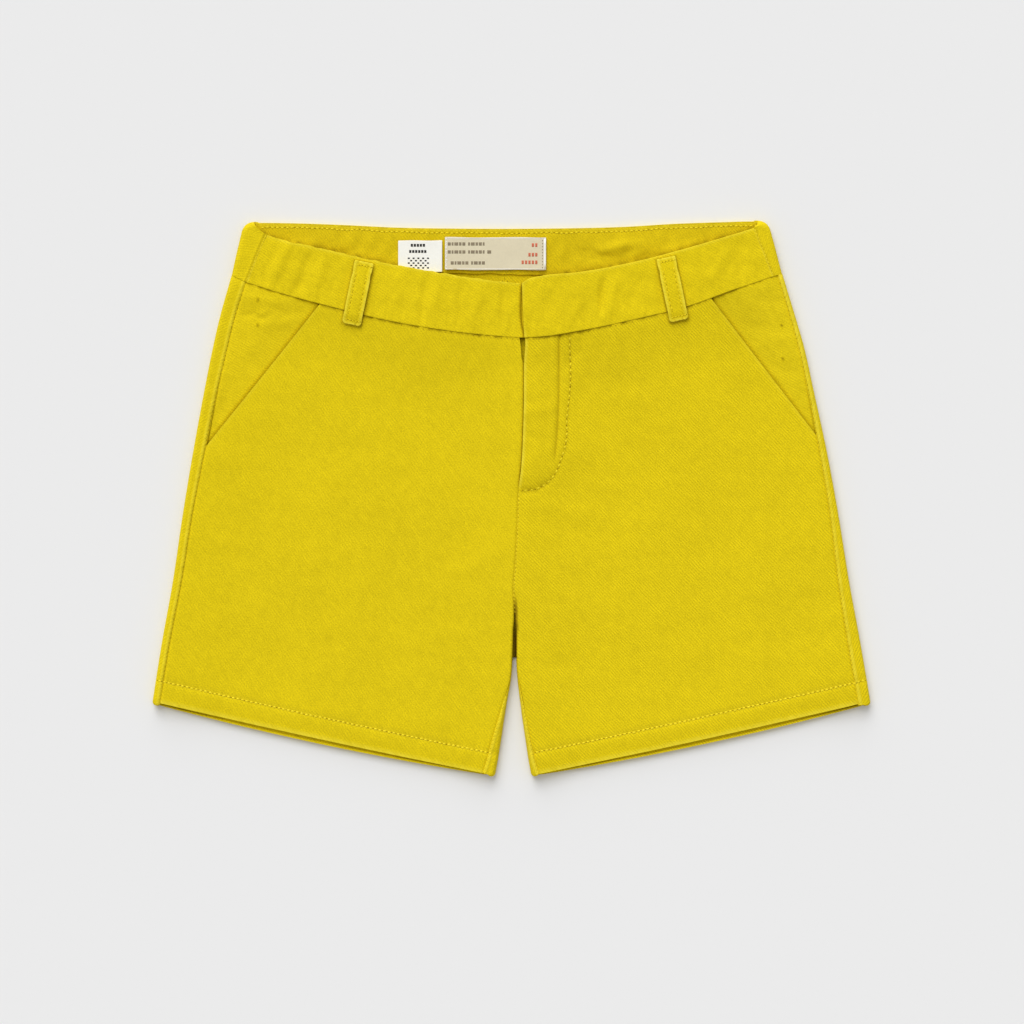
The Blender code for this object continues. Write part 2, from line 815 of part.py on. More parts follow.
def back_facing():
    """The inside of the back waistband, from under the rolled edge to just past the seam."""
    places = (0.0, 0.33, 0.66, 1.0)
    inset = HALF + LAYER + GAP

    def high(x, y):
        return np.full(np.shape(x), BAND_LIE - LAYER - GAP)

    grid = ring_rows(places, FACING_LIE, high, inset, LIP_DEPTH, LIP_DEPTH + 2 * GAP)
    sheet = Sheet()
    sheet.rows(grid, [HALF] * len(grid))
    sheet.make("waistband_back_facing", INSIDE_TWILL)


def fly_shield():
    """The strip behind the fly opening, under both fronts."""
    heights = np.linspace(79.4, SHIELD_FOOT, 8)
    shares = np.linspace(0, 1, 6)
    plan = np.zeros((len(heights), len(shares), 2))
    for i, height in enumerate(heights):
        plan[i, :, 0] = fly_x(height) - SHIELD_RIGHT + (SHIELD_LEFT + SHIELD_RIGHT) * shares
        plan[i, :, 1] = height
    under = np.minimum(plan[..., 0], fly_x(plan[..., 1]) + 3.0)
    below_right = front_lie("right", under, plan[..., 1])
    below_left = front_lie("left", plan[..., 0], plan[..., 1])
    grid = stand(plan, np.minimum(below_right, below_left) - LAYER - GAP * 1.6)
    sheet = Sheet()
    sheet.rows(grid, [HALF] * len(grid))
    sheet.make("fly_shield", LEG_TWILL)


def belt_loop(side):
    """A belt loop sewn flat at both ends over the band, standing a little off it between them."""
    strip = LOOPS[side]
    top = np.array([strip.top_x, strip.top_y])
    foot = np.array([strip.foot_x, strip.foot_y])
    along = (foot - top) / np.linalg.norm(foot - top)
    across = np.array([-along[1], along[0]])
    off_band = BAND_LIE + HALF + GAP + LOOP_LAYERS - HALF
    off_front = float(front_lie(side, *foot)) + HALF + GAP + LOOP_LAYERS - HALF
    band_end = 0.84
    grid = []
    for share in (0.0, 0.08, 0.25, 0.45, 0.65, band_end, 0.92, 1.0):
        middle = top + (foot - top) * share
        arch = 0.5 * np.sin(np.pi * min(share / band_end, 1))
        fall = ease((share - band_end) / (1 - band_end))
        height = off_band + arch + (off_front - off_band) * fall
        row = [middle + across * LOOP_WIDTH / 2 * place for place in (-1, 0, 1)]
        grid.append([(*point, height) for point in row])
    sheet = Sheet()
    sheet.rows(grid, [LOOP_LAYERS - HALF] * len(grid))
    sheet.make("belt_loop_" + side, BAND_TWILL)


def back_label(name, finish):
    """A label laid on the back facing, made from the facing's height, moved out."""
    label = LABELS[name]
    across = np.linspace(label.left, label.right, 6)
    down = np.linspace(label.top, label.foot, 4)
    plan = np.stack(np.meshgrid(across, down), axis=-1)
    grid = stand(plan, np.full(plan.shape[:2], FACING_LIE + LAYER + GAP))
    sheet = Sheet()
    sheet.rows(grid, [HALF] * len(grid))
    sheet.make(name, finish)


def clear_scene():
    """Remove whatever the scene holds."""
    for thing in list(bpy.data.objects):
        bpy.data.objects.remove(thing)


def build():
    """Make every piece."""
    clear_scene()
    for side in SIDES:
        back_panel(side)
        front_panel(side)
        pocket_facing(side)
        front_band(side)
        belt_loop(side)
    fly_shield()
    back_band()
    back_facing()
    back_label("label_size", WHITE_TAPE)
    back_label("label_care", BEIGE_TAPE)


build()
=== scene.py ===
"""A child's chino shorts, laid flat on a pale surface with the front up.

The origin lies on the surface under the middle of the shorts, with the waist towards +Y and the
wearer's right side towards -X. Sizes and tables are in millimetres, and every mesh is scaled to
metres when it is made. Each cloth piece is laid out as rows of points half a layer inside its
outer face, and is then closed into a wall.
"""

import logging
import math
from dataclasses import dataclass, field
from enum import Enum
from typing import Callable, NamedTuple, Optional, Sequence, Union

import bpy
import numpy as np
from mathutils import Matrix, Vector
from mathutils.bvhtree import BVHTree

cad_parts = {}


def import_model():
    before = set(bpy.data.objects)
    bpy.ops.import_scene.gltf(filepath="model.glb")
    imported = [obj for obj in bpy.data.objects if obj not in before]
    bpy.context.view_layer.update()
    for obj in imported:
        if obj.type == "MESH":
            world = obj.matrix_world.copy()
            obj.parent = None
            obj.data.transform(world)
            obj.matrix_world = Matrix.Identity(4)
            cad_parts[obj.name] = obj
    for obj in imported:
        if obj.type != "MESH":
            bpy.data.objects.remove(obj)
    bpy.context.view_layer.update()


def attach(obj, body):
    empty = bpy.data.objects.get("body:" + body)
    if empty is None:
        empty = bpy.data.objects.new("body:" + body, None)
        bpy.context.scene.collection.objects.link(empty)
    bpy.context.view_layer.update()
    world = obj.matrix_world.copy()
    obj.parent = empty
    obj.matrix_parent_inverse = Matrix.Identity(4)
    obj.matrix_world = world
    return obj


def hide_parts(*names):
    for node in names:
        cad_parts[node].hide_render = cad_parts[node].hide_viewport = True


log = logging.getLogger("shorts")

MM = 0.001
Height = Callable[[np.ndarray, np.ndarray], np.ndarray]

# ---------------------------------------------------------------- sizes

LAYER = 1.0  # one layer of twill
HALF = LAYER / 2
GAP = 0.3  # between layers
SEAM = 0.05  # between pieces sewn edge to edge
BAND_LAYERS = 2 * LAYER + GAP
HEM_LAYERS = 1.7
HEM_DEPTH = 11.0
HEM_LIP = 0.8  # extra thickness of the back hems' lower edge
LOOP_LAYERS = 1.4
BAND_HEIGHT = 26.5
LIP_DEPTH = 0.5
FACING_HANG = 1.5
ABOVE_ALL, BELOW_ALL = 30.0, -5.0  # heights past all the cloth, to look for it from

BACK_LIE = HALF
FACING_LIE = BACK_LIE + LAYER + GAP
FRONT_LIE = 3.2
FRONT_RISE = 1.8
BAND_LIE = 5.7
FLY_STEP = 0.75
BAND_LIFT = 1.1
BAND_DIP = 1.5

FOLD_REACH = 1.4
BAND_REACH = 2.3
ROLL_STEPS = 26  # points from the flat underside to the seam
FOLD_RISE = 4.6
BAND_CORNER = 4.6
HEM_CORNER = 1.5

FLY_FOOT = 4.0
FORK = -61.0
BACK_FORK = -79.5
FORK_OPENING = 15.0
UNDERLAP = 12.0
SHIELD_LEFT, SHIELD_RIGHT, SHIELD_FOOT = 22.0, 6.0, 14.0
HEM_SIDE, HEM_INSIDE = -103.0, -139.1
HEM_START, HEM_RUN = 10.0, 168.0  # across, from the middle
BACK_BOW, FRONT_BOW = 2.3, 0.8
FRONT_SHORT = 1.3
POCKET_LAP = 12.0
LOOP_WIDTH = 9.4
HOLE_DEPTH, HOLE_LIFT = 0.2, -0.02  # thickness of the dark oval of painted shade at a needle pit, and its middle above the cloth

# ---------------------------------------------------------------- tables


class Side(Enum):
    """The wearer's two sides, with their signs along X."""

    RIGHT = -1
    LEFT = 1

    @property
    def word(self) -> str:
        """The side's name in lower case, as pieces and columns use it."""
        return self.name.lower()


class Edge(NamedTuple):
    """Where a folded edge runs, and how far the back wraps over it to the seam on the front."""

    height: float
    right_x: float
    right_wrap: float
    left_x: float
    left_wrap: float


LEG_SIDES = (
    Edge(111.0, -140.3, 8.2, 136.0, 2.7),
    Edge(92.0, -145.7, 7.5, 141.8, 2.7),
    Edge(76.5, -149.3, 7.3, 146.3, 2.9),
    Edge(54.0, -153.8, 6.5, 151.3, 2.9),
    Edge(24.0, -159.3, 5.8, 157.8, 3.7),
    Edge(-6.0, -164.3, 4.9, 163.3, 4.2),
    Edge(-43.0, -169.8, 4.4, 169.3, 5.6),
    Edge(-73.0, -175.2, 4.0, 174.8, 6.4),
    Edge(-103.0, -179.9, 3.8, 179.9, 6.2),
)
LEG_INSIDES = (
    Edge(-61.0, 1.5, 0.56, 1.8, 0.56),
    Edge(-66.0, 1.0, 0.56, 2.4, 0.56),
    Edge(-72.0, 0.8, 0.56, 2.45, 0.56),
    Edge(-81.0, 0.5, 0.6, 2.4, 0.7),
    Edge(-91.0, -0.3, 0.9, 3.0, 1.1),
    Edge(-101.0, -2.1, 1.7, 4.2, 1.5),
    Edge(-111.0, -3.7, 2.9, 5.5, 1.9),
    Edge(-121.0, -5.2, 4.4, 7.0, 2.4),
    Edge(-131.0, -6.8, 5.4, 8.5, 3.0),
    Edge(-139.0, -8.3, 6.4, 10.0, 4.1),
)
BAND_SIDES = (
    Edge(138.5, -133.6, 13.4, 128.2, 7.9),
    Edge(124.3, -137.2, 10.8, 132.2, 6.2),
    Edge(110.0, -140.4, 8.4, 136.0, 4.4),
)
WAIST_EDGE = {Side.RIGHT: 111.6, Side.LEFT: 112.5}  # height of the waist seam on the side folds
TOP_EDGE = {Side.RIGHT: 138.0, Side.LEFT: 138.2}  # and of the band's top
SPECKS = {  # dark specks on the pocket facings, across and up
    Side.RIGHT: ((-126.7, 99.2), (-126.9, 86.8)),
    Side.LEFT: ((135.2, 86.3), (135.8, 69.8)),
}


class Line(NamedTuple):
    """A line that runs down the shorts."""

    height: float
    x: float


FLY_LINE = (
    Line(108.0, 5.2),
    Line(87.0, 5.3),
    Line(79.5, 6.8),
    Line(68.0, 6.3),
    Line(49.0, 6.2),
    Line(34.0, 5.8),
    Line(14.0, 4.7),
    Line(3.0, 3.3),
    Line(-12.0, 2.8),
    Line(-31.0, 1.8),
    Line(-46.0, 0.8),
    Line(-61.0, 1.65),
)
BACK_SEAM = (Line(115.0, -3.5), Line(60.0, -2.0), Line(0.0, 0.5), Line(-61.0, 1.65))
FLY_STITCHING = (
    Line(81.5, 29.0),
    Line(58.0, 29.4),
    Line(39.5, 27.8),
    Line(28.0, 27.2),
    Line(19.5, 24.8),
    Line(11.2, 21.0),
    Line(7.0, 16.8),
    Line(4.9, 12.8),
    Line(3.9, 5.4),
)

FLY_EDGE = (Line(81.0, 23.7), Line(49.0, 23.5), Line(29.0, 22.5), Line(18.0, 21.3))


class Band(NamedTuple):
    """The seam under a waistband and the band's top edge, as heights at a place across."""

    x: float
    seam: float
    top: float


FRONT_BANDS = {
    Side.RIGHT: (
        Band(-133.0, 108.1, 136.0),
        Band(-116.0, 102.7, 129.6),
        Band(-96.0, 97.3, 125.2),
        Band(-68.0, 90.2, 118.7),
        Band(-38.0, 84.7, 113.2),
        Band(-8.0, 81.2, 108.7),
        Band(6.0, 80.3, 107.5),
        Band(20.0, 80.3, 107.0),
    ),
    Side.LEFT: (
        Band(5.0, 80.2, 107.4),
        Band(8.0, 80.3, 109.4),
        Band(15.0, 80.7, 111.2),
        Band(32.0, 83.3, 112.9),
        Band(62.0, 89.5, 118.4),
        Band(89.0, 96.2, 125.5),
        Band(110.0, 103.8, 131.7),
        Band(122.0, 107.8, 135.4),
        Band(134.0, 112.0, 139.4),
    ),
}
BACK_BAND = (
    Band(-138.0, 111.4, 137.6),
    Band(-128.0, 111.2, 138.0),
    Band(-112.0, 111.9, 137.9),
    Band(-80.0, 113.6, 136.8),
    Band(-60.0, 114.2, 135.8),
    Band(-28.0, 114.4, 135.2),
    Band(17.0, 113.4, 135.2),
    Band(59.0, 112.8, 136.2),
    Band(80.0, 112.4, 137.5),
    Band(105.0, 111.8, 138.4),
    Band(121.0, 111.9, 138.8),
    Band(134.0, 112.3, 138.4),
)


class Station(NamedTuple):
    """One row across a front: its height at the middle, its place down the side, and the lap."""

    inner: float
    side: float
    lap: float


FRONT_STATIONS = (
    Station(80.0, 0.00, -2.9),
    Station(70.0, 0.17, -1.4),
    Station(60.0, 0.33, 1.5),
    Station(48.0, 0.50, 3.0),
    Station(36.0, 0.67, 3.0),
    Station(25.0, 0.84, 3.0),
    Station(15.0, 1.00, -SEAM / 2),
    Station(FLY_FOOT, 1.09, -SEAM / 2),
    Station(-12.0, 1.20, -SEAM / 2),
    Station(-28.0, 1.31, -SEAM / 2),
    Station(-45.0, 1.42, -SEAM / 2),
    Station(FORK, 1.52, -SEAM / 2),
)


class Row(NamedTuple):
    """One row across a back or a leg: its heights at the middle and at the side."""

    inner: float
    side: float


BACK_ROWS = (
    Row(114.0, 110.3),
    Row(93.0, 91.0),
    Row(72.0, 72.0),
    Row(51.0, 53.0),
    Row(30.0, 34.0),
    Row(9.0, 15.0),
    Row(-12.0, -3.0),
    Row(-30.0, -17.0),
    Row(-47.0, -28.0),
    Row(-62.0, -38.0),
    Row(BACK_FORK, -53.0),
)
BACK_LEG_ROWS = (
    Row(BACK_FORK - 0.7, -53.7),
    Row(-84.0, -57.0),
    Row(-96.0, -67.0),
    Row(-109.0, -78.0),
)
FRONT_LEG_ROWS = (
    Row(FORK - 2.2, -38.0),
    Row(-73.0, -47.0),
    Row(-84.0, -57.0),
    Row(-96.0, -67.0),
    Row(-109.0, -78.0),
)


class Crease(NamedTuple):
    """A soft ridge in the cloth, or a trough where its height is below zero."""

    x: float
    y: float
    turn: float  # degrees, from +X towards +Y
    length: float
    width: float
    height: float


FRONT_CREASES = (
    Crease(-125.0, 99.0, -8.0, 26.0, 2.6, 0.32),
    Crease(-129.5, 91.4, -3.0, 13.0, 1.3, -0.40),
    Crease(-125.0, 92.5, 28.0, 9.0, 1.2, 0.26),
    Crease(-109.0, 90.0, 17.0, 15.0, 1.8, 0.16),
    Crease(-118.0, 87.5, 4.0, 26.0, 3.0, 0.26),
    Crease(-136.0, 70.0, 78.0, 30.0, 3.5, -0.18),
    Crease(-147.0, 42.0, 72.0, 34.0, 3.2, -0.20),
    Crease(131.0, 92.0, -58.0, 14.0, 2.0, -0.30),
    Crease(124.0, 96.0, -20.0, 20.0, 3.0, 0.20),
    Crease(126.0, 86.0, -12.0, 26.0, 3.2, -0.24),
    Crease(130.0, 78.0, 18.0, 22.0, 3.0, 0.18),
    Crease(134.0, 66.0, -24.0, 22.0, 3.2, -0.18),
    Crease(31.0, 70.0, 50.0, 16.0, 1.8, -0.36),
    Crease(14.0, 44.0, 12.0, 18.0, 2.4, 0.26),
    Crease(13.0, 30.0, -14.0, 16.0, 2.0, -0.22),
    Crease(16.0, 62.0, 86.0, 40.0, 5.0, 0.22),
    Crease(40.0, 62.0, 70.0, 46.0, 5.0, -0.32),
    Crease(47.0, 70.0, 68.0, 40.0, 5.0, 0.20),
    Crease(34.0, 78.0, 52.0, 18.0, 2.6, -0.30),
    Crease(26.0, -6.0, -6.0, 36.0, 3.6, 0.22),
    Crease(24.0, -14.0, -10.0, 30.0, 3.0, -0.18),
    Crease(-24.0, -36.0, 30.0, 40.0, 5.0, 0.20),
    Crease(24.0, -46.0, -38.0, 40.0, 5.0, 0.20),
    Crease(-62.0, 60.0, 74.0, 60.0, 9.0, 0.16),
    Crease(-96.0, -10.0, 84.0, 80.0, 12.0, 0.18),
    Crease(-60.0, -70.0, 80.0, 70.0, 11.0, -0.16),
    Crease(92.0, -14.0, 98.0, 80.0, 12.0, 0.18),
    Crease(66.0, -66.0, 100.0, 60.0, 10.0, -0.16),
    Crease(140.0, -50.0, 96.0, 70.0, 9.0, -0.22),
    Crease(156.0, -84.0, 70.0, 30.0, 5.0, 0.16),
    Crease(-150.0, -76.0, 104.0, 40.0, 5.0, 0.14),
)
BACK_CREASES = (
    Crease(-60.0, 96.0, 4.0, 50.0, 4.0, 0.22),
    Crease(-84.0, 88.0, -12.0, 40.0, 3.5, 0.18),
    Crease(58.0, 94.0, -6.0, 46.0, 4.0, 0.24),
    Crease(90.0, 84.0, 14.0, 36.0, 3.5, 0.18),
    Crease(-30.0, 20.0, 62.0, 70.0, 6.0, 0.20),
    Crease(34.0, 6.0, -66.0, 64.0, 6.0, 0.20),
    Crease(-22.0, -48.0, 34.0, 40.0, 4.0, 0.28),
    Crease(26.0, -52.0, -30.0, 36.0, 4.0, 0.26),
    Crease(-40.0, -62.0, 18.0, 40.0, 5.0, 0.16),
    Crease(46.0, -66.0, -16.0, 44.0, 5.0, 0.18),
    Crease(-118.0, 10.0, 80.0, 80.0, 8.0, 0.14),
    Crease(120.0, 2.0, 98.0, 70.0, 8.0, 0.16),
    Crease(-110.0, -84.0, 70.0, 40.0, 5.0, 0.14),
    Crease(108.0, -88.0, 108.0, 40.0, 5.0, 0.16),
)
BAND_CREASES = (
    Crease(-116.0, 117.0, 68.0, 26.0, 3.0, 0.30),
    Crease(-104.0, 112.0, 66.0, 24.0, 2.8, -0.26),
    Crease(-96.0, 112.0, 74.0, 20.0, 2.4, 0.24),
    Crease(-58.0, 103.0, 80.0, 22.0, 3.0, 0.18),
    Crease(-44.0, 99.0, 86.0, 24.0, 2.0, -0.26),
    Crease(-38.0, 98.0, 84.0, 22.0, 2.6, 0.22),
    Crease(-26.0, 96.0, 84.0, 24.0, 2.0, -0.24),
    Crease(-18.0, 95.0, 80.0, 22.0, 2.6, 0.20),
    Crease(-5.0, 94.0, 88.0, 24.0, 1.8, -0.22),
    Crease(20.0, 100.0, 60.0, 16.0, 3.0, -0.16),
    Crease(33.0, 98.0, 74.0, 20.0, 2.6, 0.16),
    Crease(45.2, 101.5, 84.0, 17.0, 1.9, -0.44),
    Crease(50.0, 100.0, 78.0, 22.0, 2.4, 0.24),
    Crease(62.0, 104.0, 70.0, 20.0, 3.0, -0.16),
    Crease(104.0, 117.0, 62.0, 18.0, 3.0, 0.18),
    Crease(114.0, 121.0, 84.0, 18.0, 2.6, -0.16),
)
FACING_CREASES = (
    Crease(-112.0, 124.0, 24.0, 22.0, 2.6, 0.30),
    Crease(-92.0, 122.0, 8.0, 18.0, 2.0, -0.30),
    Crease(-82.0, 119.0, 30.0, 20.0, 2.4, 0.28),
    Crease(30.0, 124.0, 76.0, 16.0, 2.4, -0.26),
    Crease(44.0, 121.0, -12.0, 24.0, 2.2, -0.30),
    Crease(54.0, 126.0, 14.0, 22.0, 2.6, 0.28),
    Crease(66.0, 119.5, 10.0, 20.0, 2.0, -0.28),
    Crease(84.0, 125.0, 22.0, 22.0, 2.6, 0.26),
)


class Strip(NamedTuple):
    """A belt loop's middle line, from its top end to its bottom end."""

    top_x: float
    top_y: float
    foot_x: float
    foot_y: float


LOOPS = {
    Side.RIGHT: Strip(-73.5, 118.0, -80.0, 87.0),
    Side.LEFT: Strip(77.0, 120.1, 83.7, 89.0),
}


class Patch(NamedTuple):
    """A rectangle on the back facing: a label, or a woven motif on one."""

    left: float
    right: float
    foot: float
    top: float


def patch_round(x: float, y: float, half_width: float, half_height: float) -> Patch:
    """The rectangle round a middle."""
    return Patch(x - half_width, x + half_width, y - half_height, y + half_height)


SIZE_LABEL = Patch(-56.7, -34.7, 113.3, 129.1)
CARE_LABEL = Patch(-33.3, 17.3, 114.4, 130.7)
POCKET_CORNERS = {Side.RIGHT: 26.8, Side.LEFT: 31.8}  # heights where the mouths meet the side
POCKET_TOPS = {Side.RIGHT: -95.8, Side.LEFT: 99.8}  # places across where they meet the waist

# ---------------------------------------------------------------- plan


class Curve:
    """A smooth curve through points, straight on past both ends."""

    def __init__(self, places: Sequence[float], values: Sequence[float]) -> None:
        """Sort the points and find the slope at each.

        Args:
            places: where the points lie.
            values: the curve's values there.
        """
        order = np.argsort(places)
        self.places = np.asarray(places, float)[order]
        self.values = np.asarray(values, float)[order]
        self.slopes = np.gradient(self.values, self.places)

    @classmethod
    def of(cls, table: Sequence[NamedTuple], place: str, value: str) -> "Curve":
        """The curve of one named column of a table against another.

        Args:
            table: the rows.
            place: the column to go by.
            value: the column to follow.

        Returns:
            The curve.
        """
        return cls([getattr(r, place) for r in table], [getattr(r, value) for r in table])

    def __call__(self, at: Union[float, np.ndarray]) -> np.ndarray:
        """The curve's value at one place or many.

        Args:
            at: the places.

        Returns:
            The values there.
        """
        at = np.asarray(at, float)
        p, v, s = self.places, self.values, self.slopes
        inside = np.clip(at, p[0], p[-1])
        i = np.clip(np.searchsorted(p, inside, side="right") - 1, 0, len(p) - 2)
        width = p[i + 1] - p[i]
        share = (inside - p[i]) / width
        rest = 1 - share
        ends = v[i] * rest**2 * (1 + 2 * share) + v[i + 1] * share**2 * (1 + 2 * rest)
        bends = s[i] * width * share * rest**2 - s[i + 1] * width * rest * share**2
        return ends + bends + np.where(at < p[0], s[0], s[-1]) * (at - inside)


def ease(share: np.ndarray) -> np.ndarray:
    """0 to 1 with level ends."""
    share = np.clip(share, 0, 1)
    return share * share * (3 - 2 * share)


def bump(distance: np.ndarray, reach: float) -> np.ndarray:
    """1 on a line, easing to 0 at a reach from it."""
    return 1 - ease(np.abs(distance) / reach)


def bell(distance: np.ndarray, width: float) -> np.ndarray:
    """1 on a line, falling off softly to either side."""
    return np.exp(-((np.asarray(distance) / width) ** 2))


def rounded(distance: np.ndarray, radius: float) -> np.ndarray:
    """How far a rounded corner falls back at a distance from its side."""
    left = np.clip(radius - distance, 0, radius)
    return radius - np.sqrt(radius**2 - left**2)


def wander(along: np.ndarray, pitch: float, seed: int) -> np.ndarray:
    """An uneven ripple between about -1 and 1.

    Args:
        along: places along a line.
        pitch: the usual distance between its crests.
        seed: picks one of many such ripples.

    Returns:
        The ripple's height at those places.
    """
    chance = np.random.default_rng(seed)
    total = np.zeros(np.shape(along))
    for stretch in (0.62, 0.83, 1.0, 1.37, 1.9):
        start = chance.uniform(0, 2 * math.pi)
        total = total + np.sin(2 * math.pi * np.asarray(along) / (pitch * stretch) + start)
    return total / 2.4


def unevenness(x: np.ndarray, y: np.ndarray, size: float, seed: int) -> np.ndarray:
    """Soft swells all over a piece, between about -1 and 1.

    Args:
        x: places across.
        y: places up the shorts.
        size: the usual distance between swells.
        seed: picks one of many such surfaces.

    Returns:
        The height at those places.
    """
    chance = np.random.default_rng(seed)
    total = np.zeros(np.shape(x))
    for _ in range(9):
        turn = chance.uniform(0, math.pi)
        length = size * chance.uniform(0.6, 1.8)
        start = chance.uniform(0, 2 * math.pi)
        along = np.asarray(x) * math.cos(turn) + np.asarray(y) * math.sin(turn)
        total = total + np.sin(2 * math.pi * along / length + start)
    return total / 4.0


def creased(creases: Sequence[Crease], x: np.ndarray, y: np.ndarray) -> np.ndarray:
    """All the creases of a table at some places.

    Args:
        creases: the table.
        x: places across.
        y: places up the shorts.

    Returns:
        The height that they add there.
    """
    total = np.zeros(np.shape(x))
    for crease in creases:
        turn = math.radians(crease.turn)
        along = (x - crease.x) * math.cos(turn) + (y - crease.y) * math.sin(turn)
        across = (y - crease.y) * math.cos(turn) - (x - crease.x) * math.sin(turn)
        bowed = across + 0.5 * wander(along, crease.length, int(abs(crease.x * 7 + crease.y)))
        shape = bell(bowed, crease.width) * np.exp(-((2 * along / crease.length) ** 4))
        total = total + crease.height * shape
    return total


def flowing(table: Sequence[Line]) -> np.ndarray:
    """The smooth line through a table's points, as plan points from end to end."""
    path = np.array([(row.x, row.height) for row in table])
    run, along = lengths(path, path), np.linspace(0, 1, 120)
    return np.column_stack([Curve(run, path[:, i])(along) for i in range(2)])


def from_path(path: np.ndarray, x: np.ndarray, y: np.ndarray) -> np.ndarray:
    """How far places lie from a line of plan points.

    Args:
        path: the line's points.
        x: places across.
        y: places up the shorts.

    Returns:
        The distances.
    """
    near = np.full(np.shape(x), np.inf)
    for one, other in zip(path, path[1:]):
        step = other - one
        share = np.clip(((x - one[0]) * step[0] + (y - one[1]) * step[1]) / (step @ step), 0, 1)
        near = np.minimum(near, np.hypot(x - one[0] - share * step[0], y - one[1] - share * step[1]))
    return near


class Fold:
    """A folded edge in plan, with the way inwards from it and the width of the wrap."""

    def __init__(self, table: Sequence[Edge], side: Side, inwards: int) -> None:
        """Read one side of a table of edges.

        Args:
            table: the rows.
            side: whose columns to read.
            inwards: the sign along X of the way from the edge into the piece.
        """
        self.x = Curve.of(table, "height", side.word + "_x")
        self.wrap = Curve.of(table, "height", side.word + "_wrap")
        self.inwards = inwards

    def frame(self, height: float) -> tuple[np.ndarray, np.ndarray]:
        """The edge's point at a height, and the unit step inwards from it.

        Args:
            height: the place up the edge.

        Returns:
            The point and the step.
        """
        slope = float(self.x(height + 1) - self.x(height - 1)) / 2
        edge = np.array([float(self.x(height)), height])
        return edge, self.inwards * np.array([1, -slope]) / math.hypot(1, slope)

    def seam_point(self, height: float, past: float = 0.0) -> np.ndarray:
        """The point of the side seam level with a height on the edge."""
        edge, inward = self.frame(height)
        return edge + inward * (float(self.wrap(height)) + past)

    def from_seam(self, x: np.ndarray, y: np.ndarray) -> np.ndarray:
        """How far places lie inside the seam, below zero on the wrap."""
        return (x - self.x(y)) * self.inwards - self.wrap(y)

    def meeting(self, curve: Curve, off: float) -> float:
        """The height on the edge whose seam point lies on a curve across the front."""
        height = float(curve(self.x(110.0)))
        for _ in range(12):
            x, y = self.seam_point(height)
            height += float(curve(x)) + off - y
        return height


def lengths(one: np.ndarray, other: np.ndarray) -> np.ndarray:
    """How far along each point of two matching lines lies, as shares of their length."""
    steps = np.linalg.norm(np.diff(one, axis=0), axis=1)
    steps = steps + np.linalg.norm(np.diff(other, axis=0), axis=1)
    return np.concatenate([[0], np.cumsum(steps)]) / steps.sum()


def coons(
    top: np.ndarray,
    bottom: np.ndarray,
    first: np.ndarray,
    last: np.ndarray,
    places: Optional[np.ndarray] = None,
) -> np.ndarray:
    """A grid of plan points between four boundary lines.

    Args:
        top: the first row.
        bottom: the last row.
        first: the first point of every row.
        last: the last point of every row.
        places: the share of the way down at each row, if not by the length of the sides.

    Returns:
        The grid, with rows from top to bottom.
    """
    across = lengths(top, bottom)[None, :, None]
    down = (lengths(first, last) if places is None else places)[:, None, None]
    straight = (1 - across) * (1 - down) * top[0] + across * (1 - down) * top[-1]
    straight = straight + (1 - across) * down * bottom[0] + across * down * bottom[-1]
    sides = (1 - across) * first[:, None] + across * last[:, None]
    return (1 - down) * top[None] + down * bottom[None] + sides - straight


def spread(count: int, edges: float = 0.4) -> np.ndarray:
    """Shares from 0 to 1, closer together near both ends."""
    even = np.linspace(0, 1, count)
    return (1 - edges) * even + edges * (1 - np.cos(np.pi * even)) / 2


def refine(rows: Sequence[NamedTuple], steps: int) -> list[NamedTuple]:
    """The rows of a table with others evenly between them.

    Args:
        rows: the table.
        steps: how many steps each of its gaps is cut into.

    Returns:
        The longer table.
    """
    fine = []
    for one, other in zip(rows, rows[1:]):
        for step in range(steps):
            share = step / steps
            fine.append(type(one)(*(a + (b - a) * share for a, b in zip(one, other))))
    return fine + [rows[-1]]


def traced(curve: Curve, x: np.ndarray, off: float) -> np.ndarray:
    """The plan points of a curve at places across, moved up by a distance."""
    return np.column_stack([x, curve(x) + off])


def hem_share(x: np.ndarray) -> np.ndarray:
    """How far out along the hems' line places lie, from 0 at the inside to 1 at the side."""
    return (np.abs(x) - HEM_START) / HEM_RUN


def arc(share: np.ndarray, bow: float) -> np.ndarray:
    """How far a bowed line dips at a share of its length."""
    return bow * 4 * share * (1 - share)


def bowed(start: np.ndarray, end: np.ndarray, shares: np.ndarray, bow: float) -> np.ndarray:
    """A line from start to end that bows down in its middle.

    Args:
        start: where it starts.
        end: where it ends.
        shares: places along it, from 0 to 1.
        bow: how far it dips.

    Returns:
        Its plan points.
    """
    line = start + np.outer(shares, end - start)
    line[:, 1] -= arc(shares, bow)
    return line


def stand(plan: np.ndarray, heights: np.ndarray) -> np.ndarray:
    """Plan points and their heights as points in space."""
    return np.concatenate([plan, np.asarray(heights)[..., None]], axis=-1)


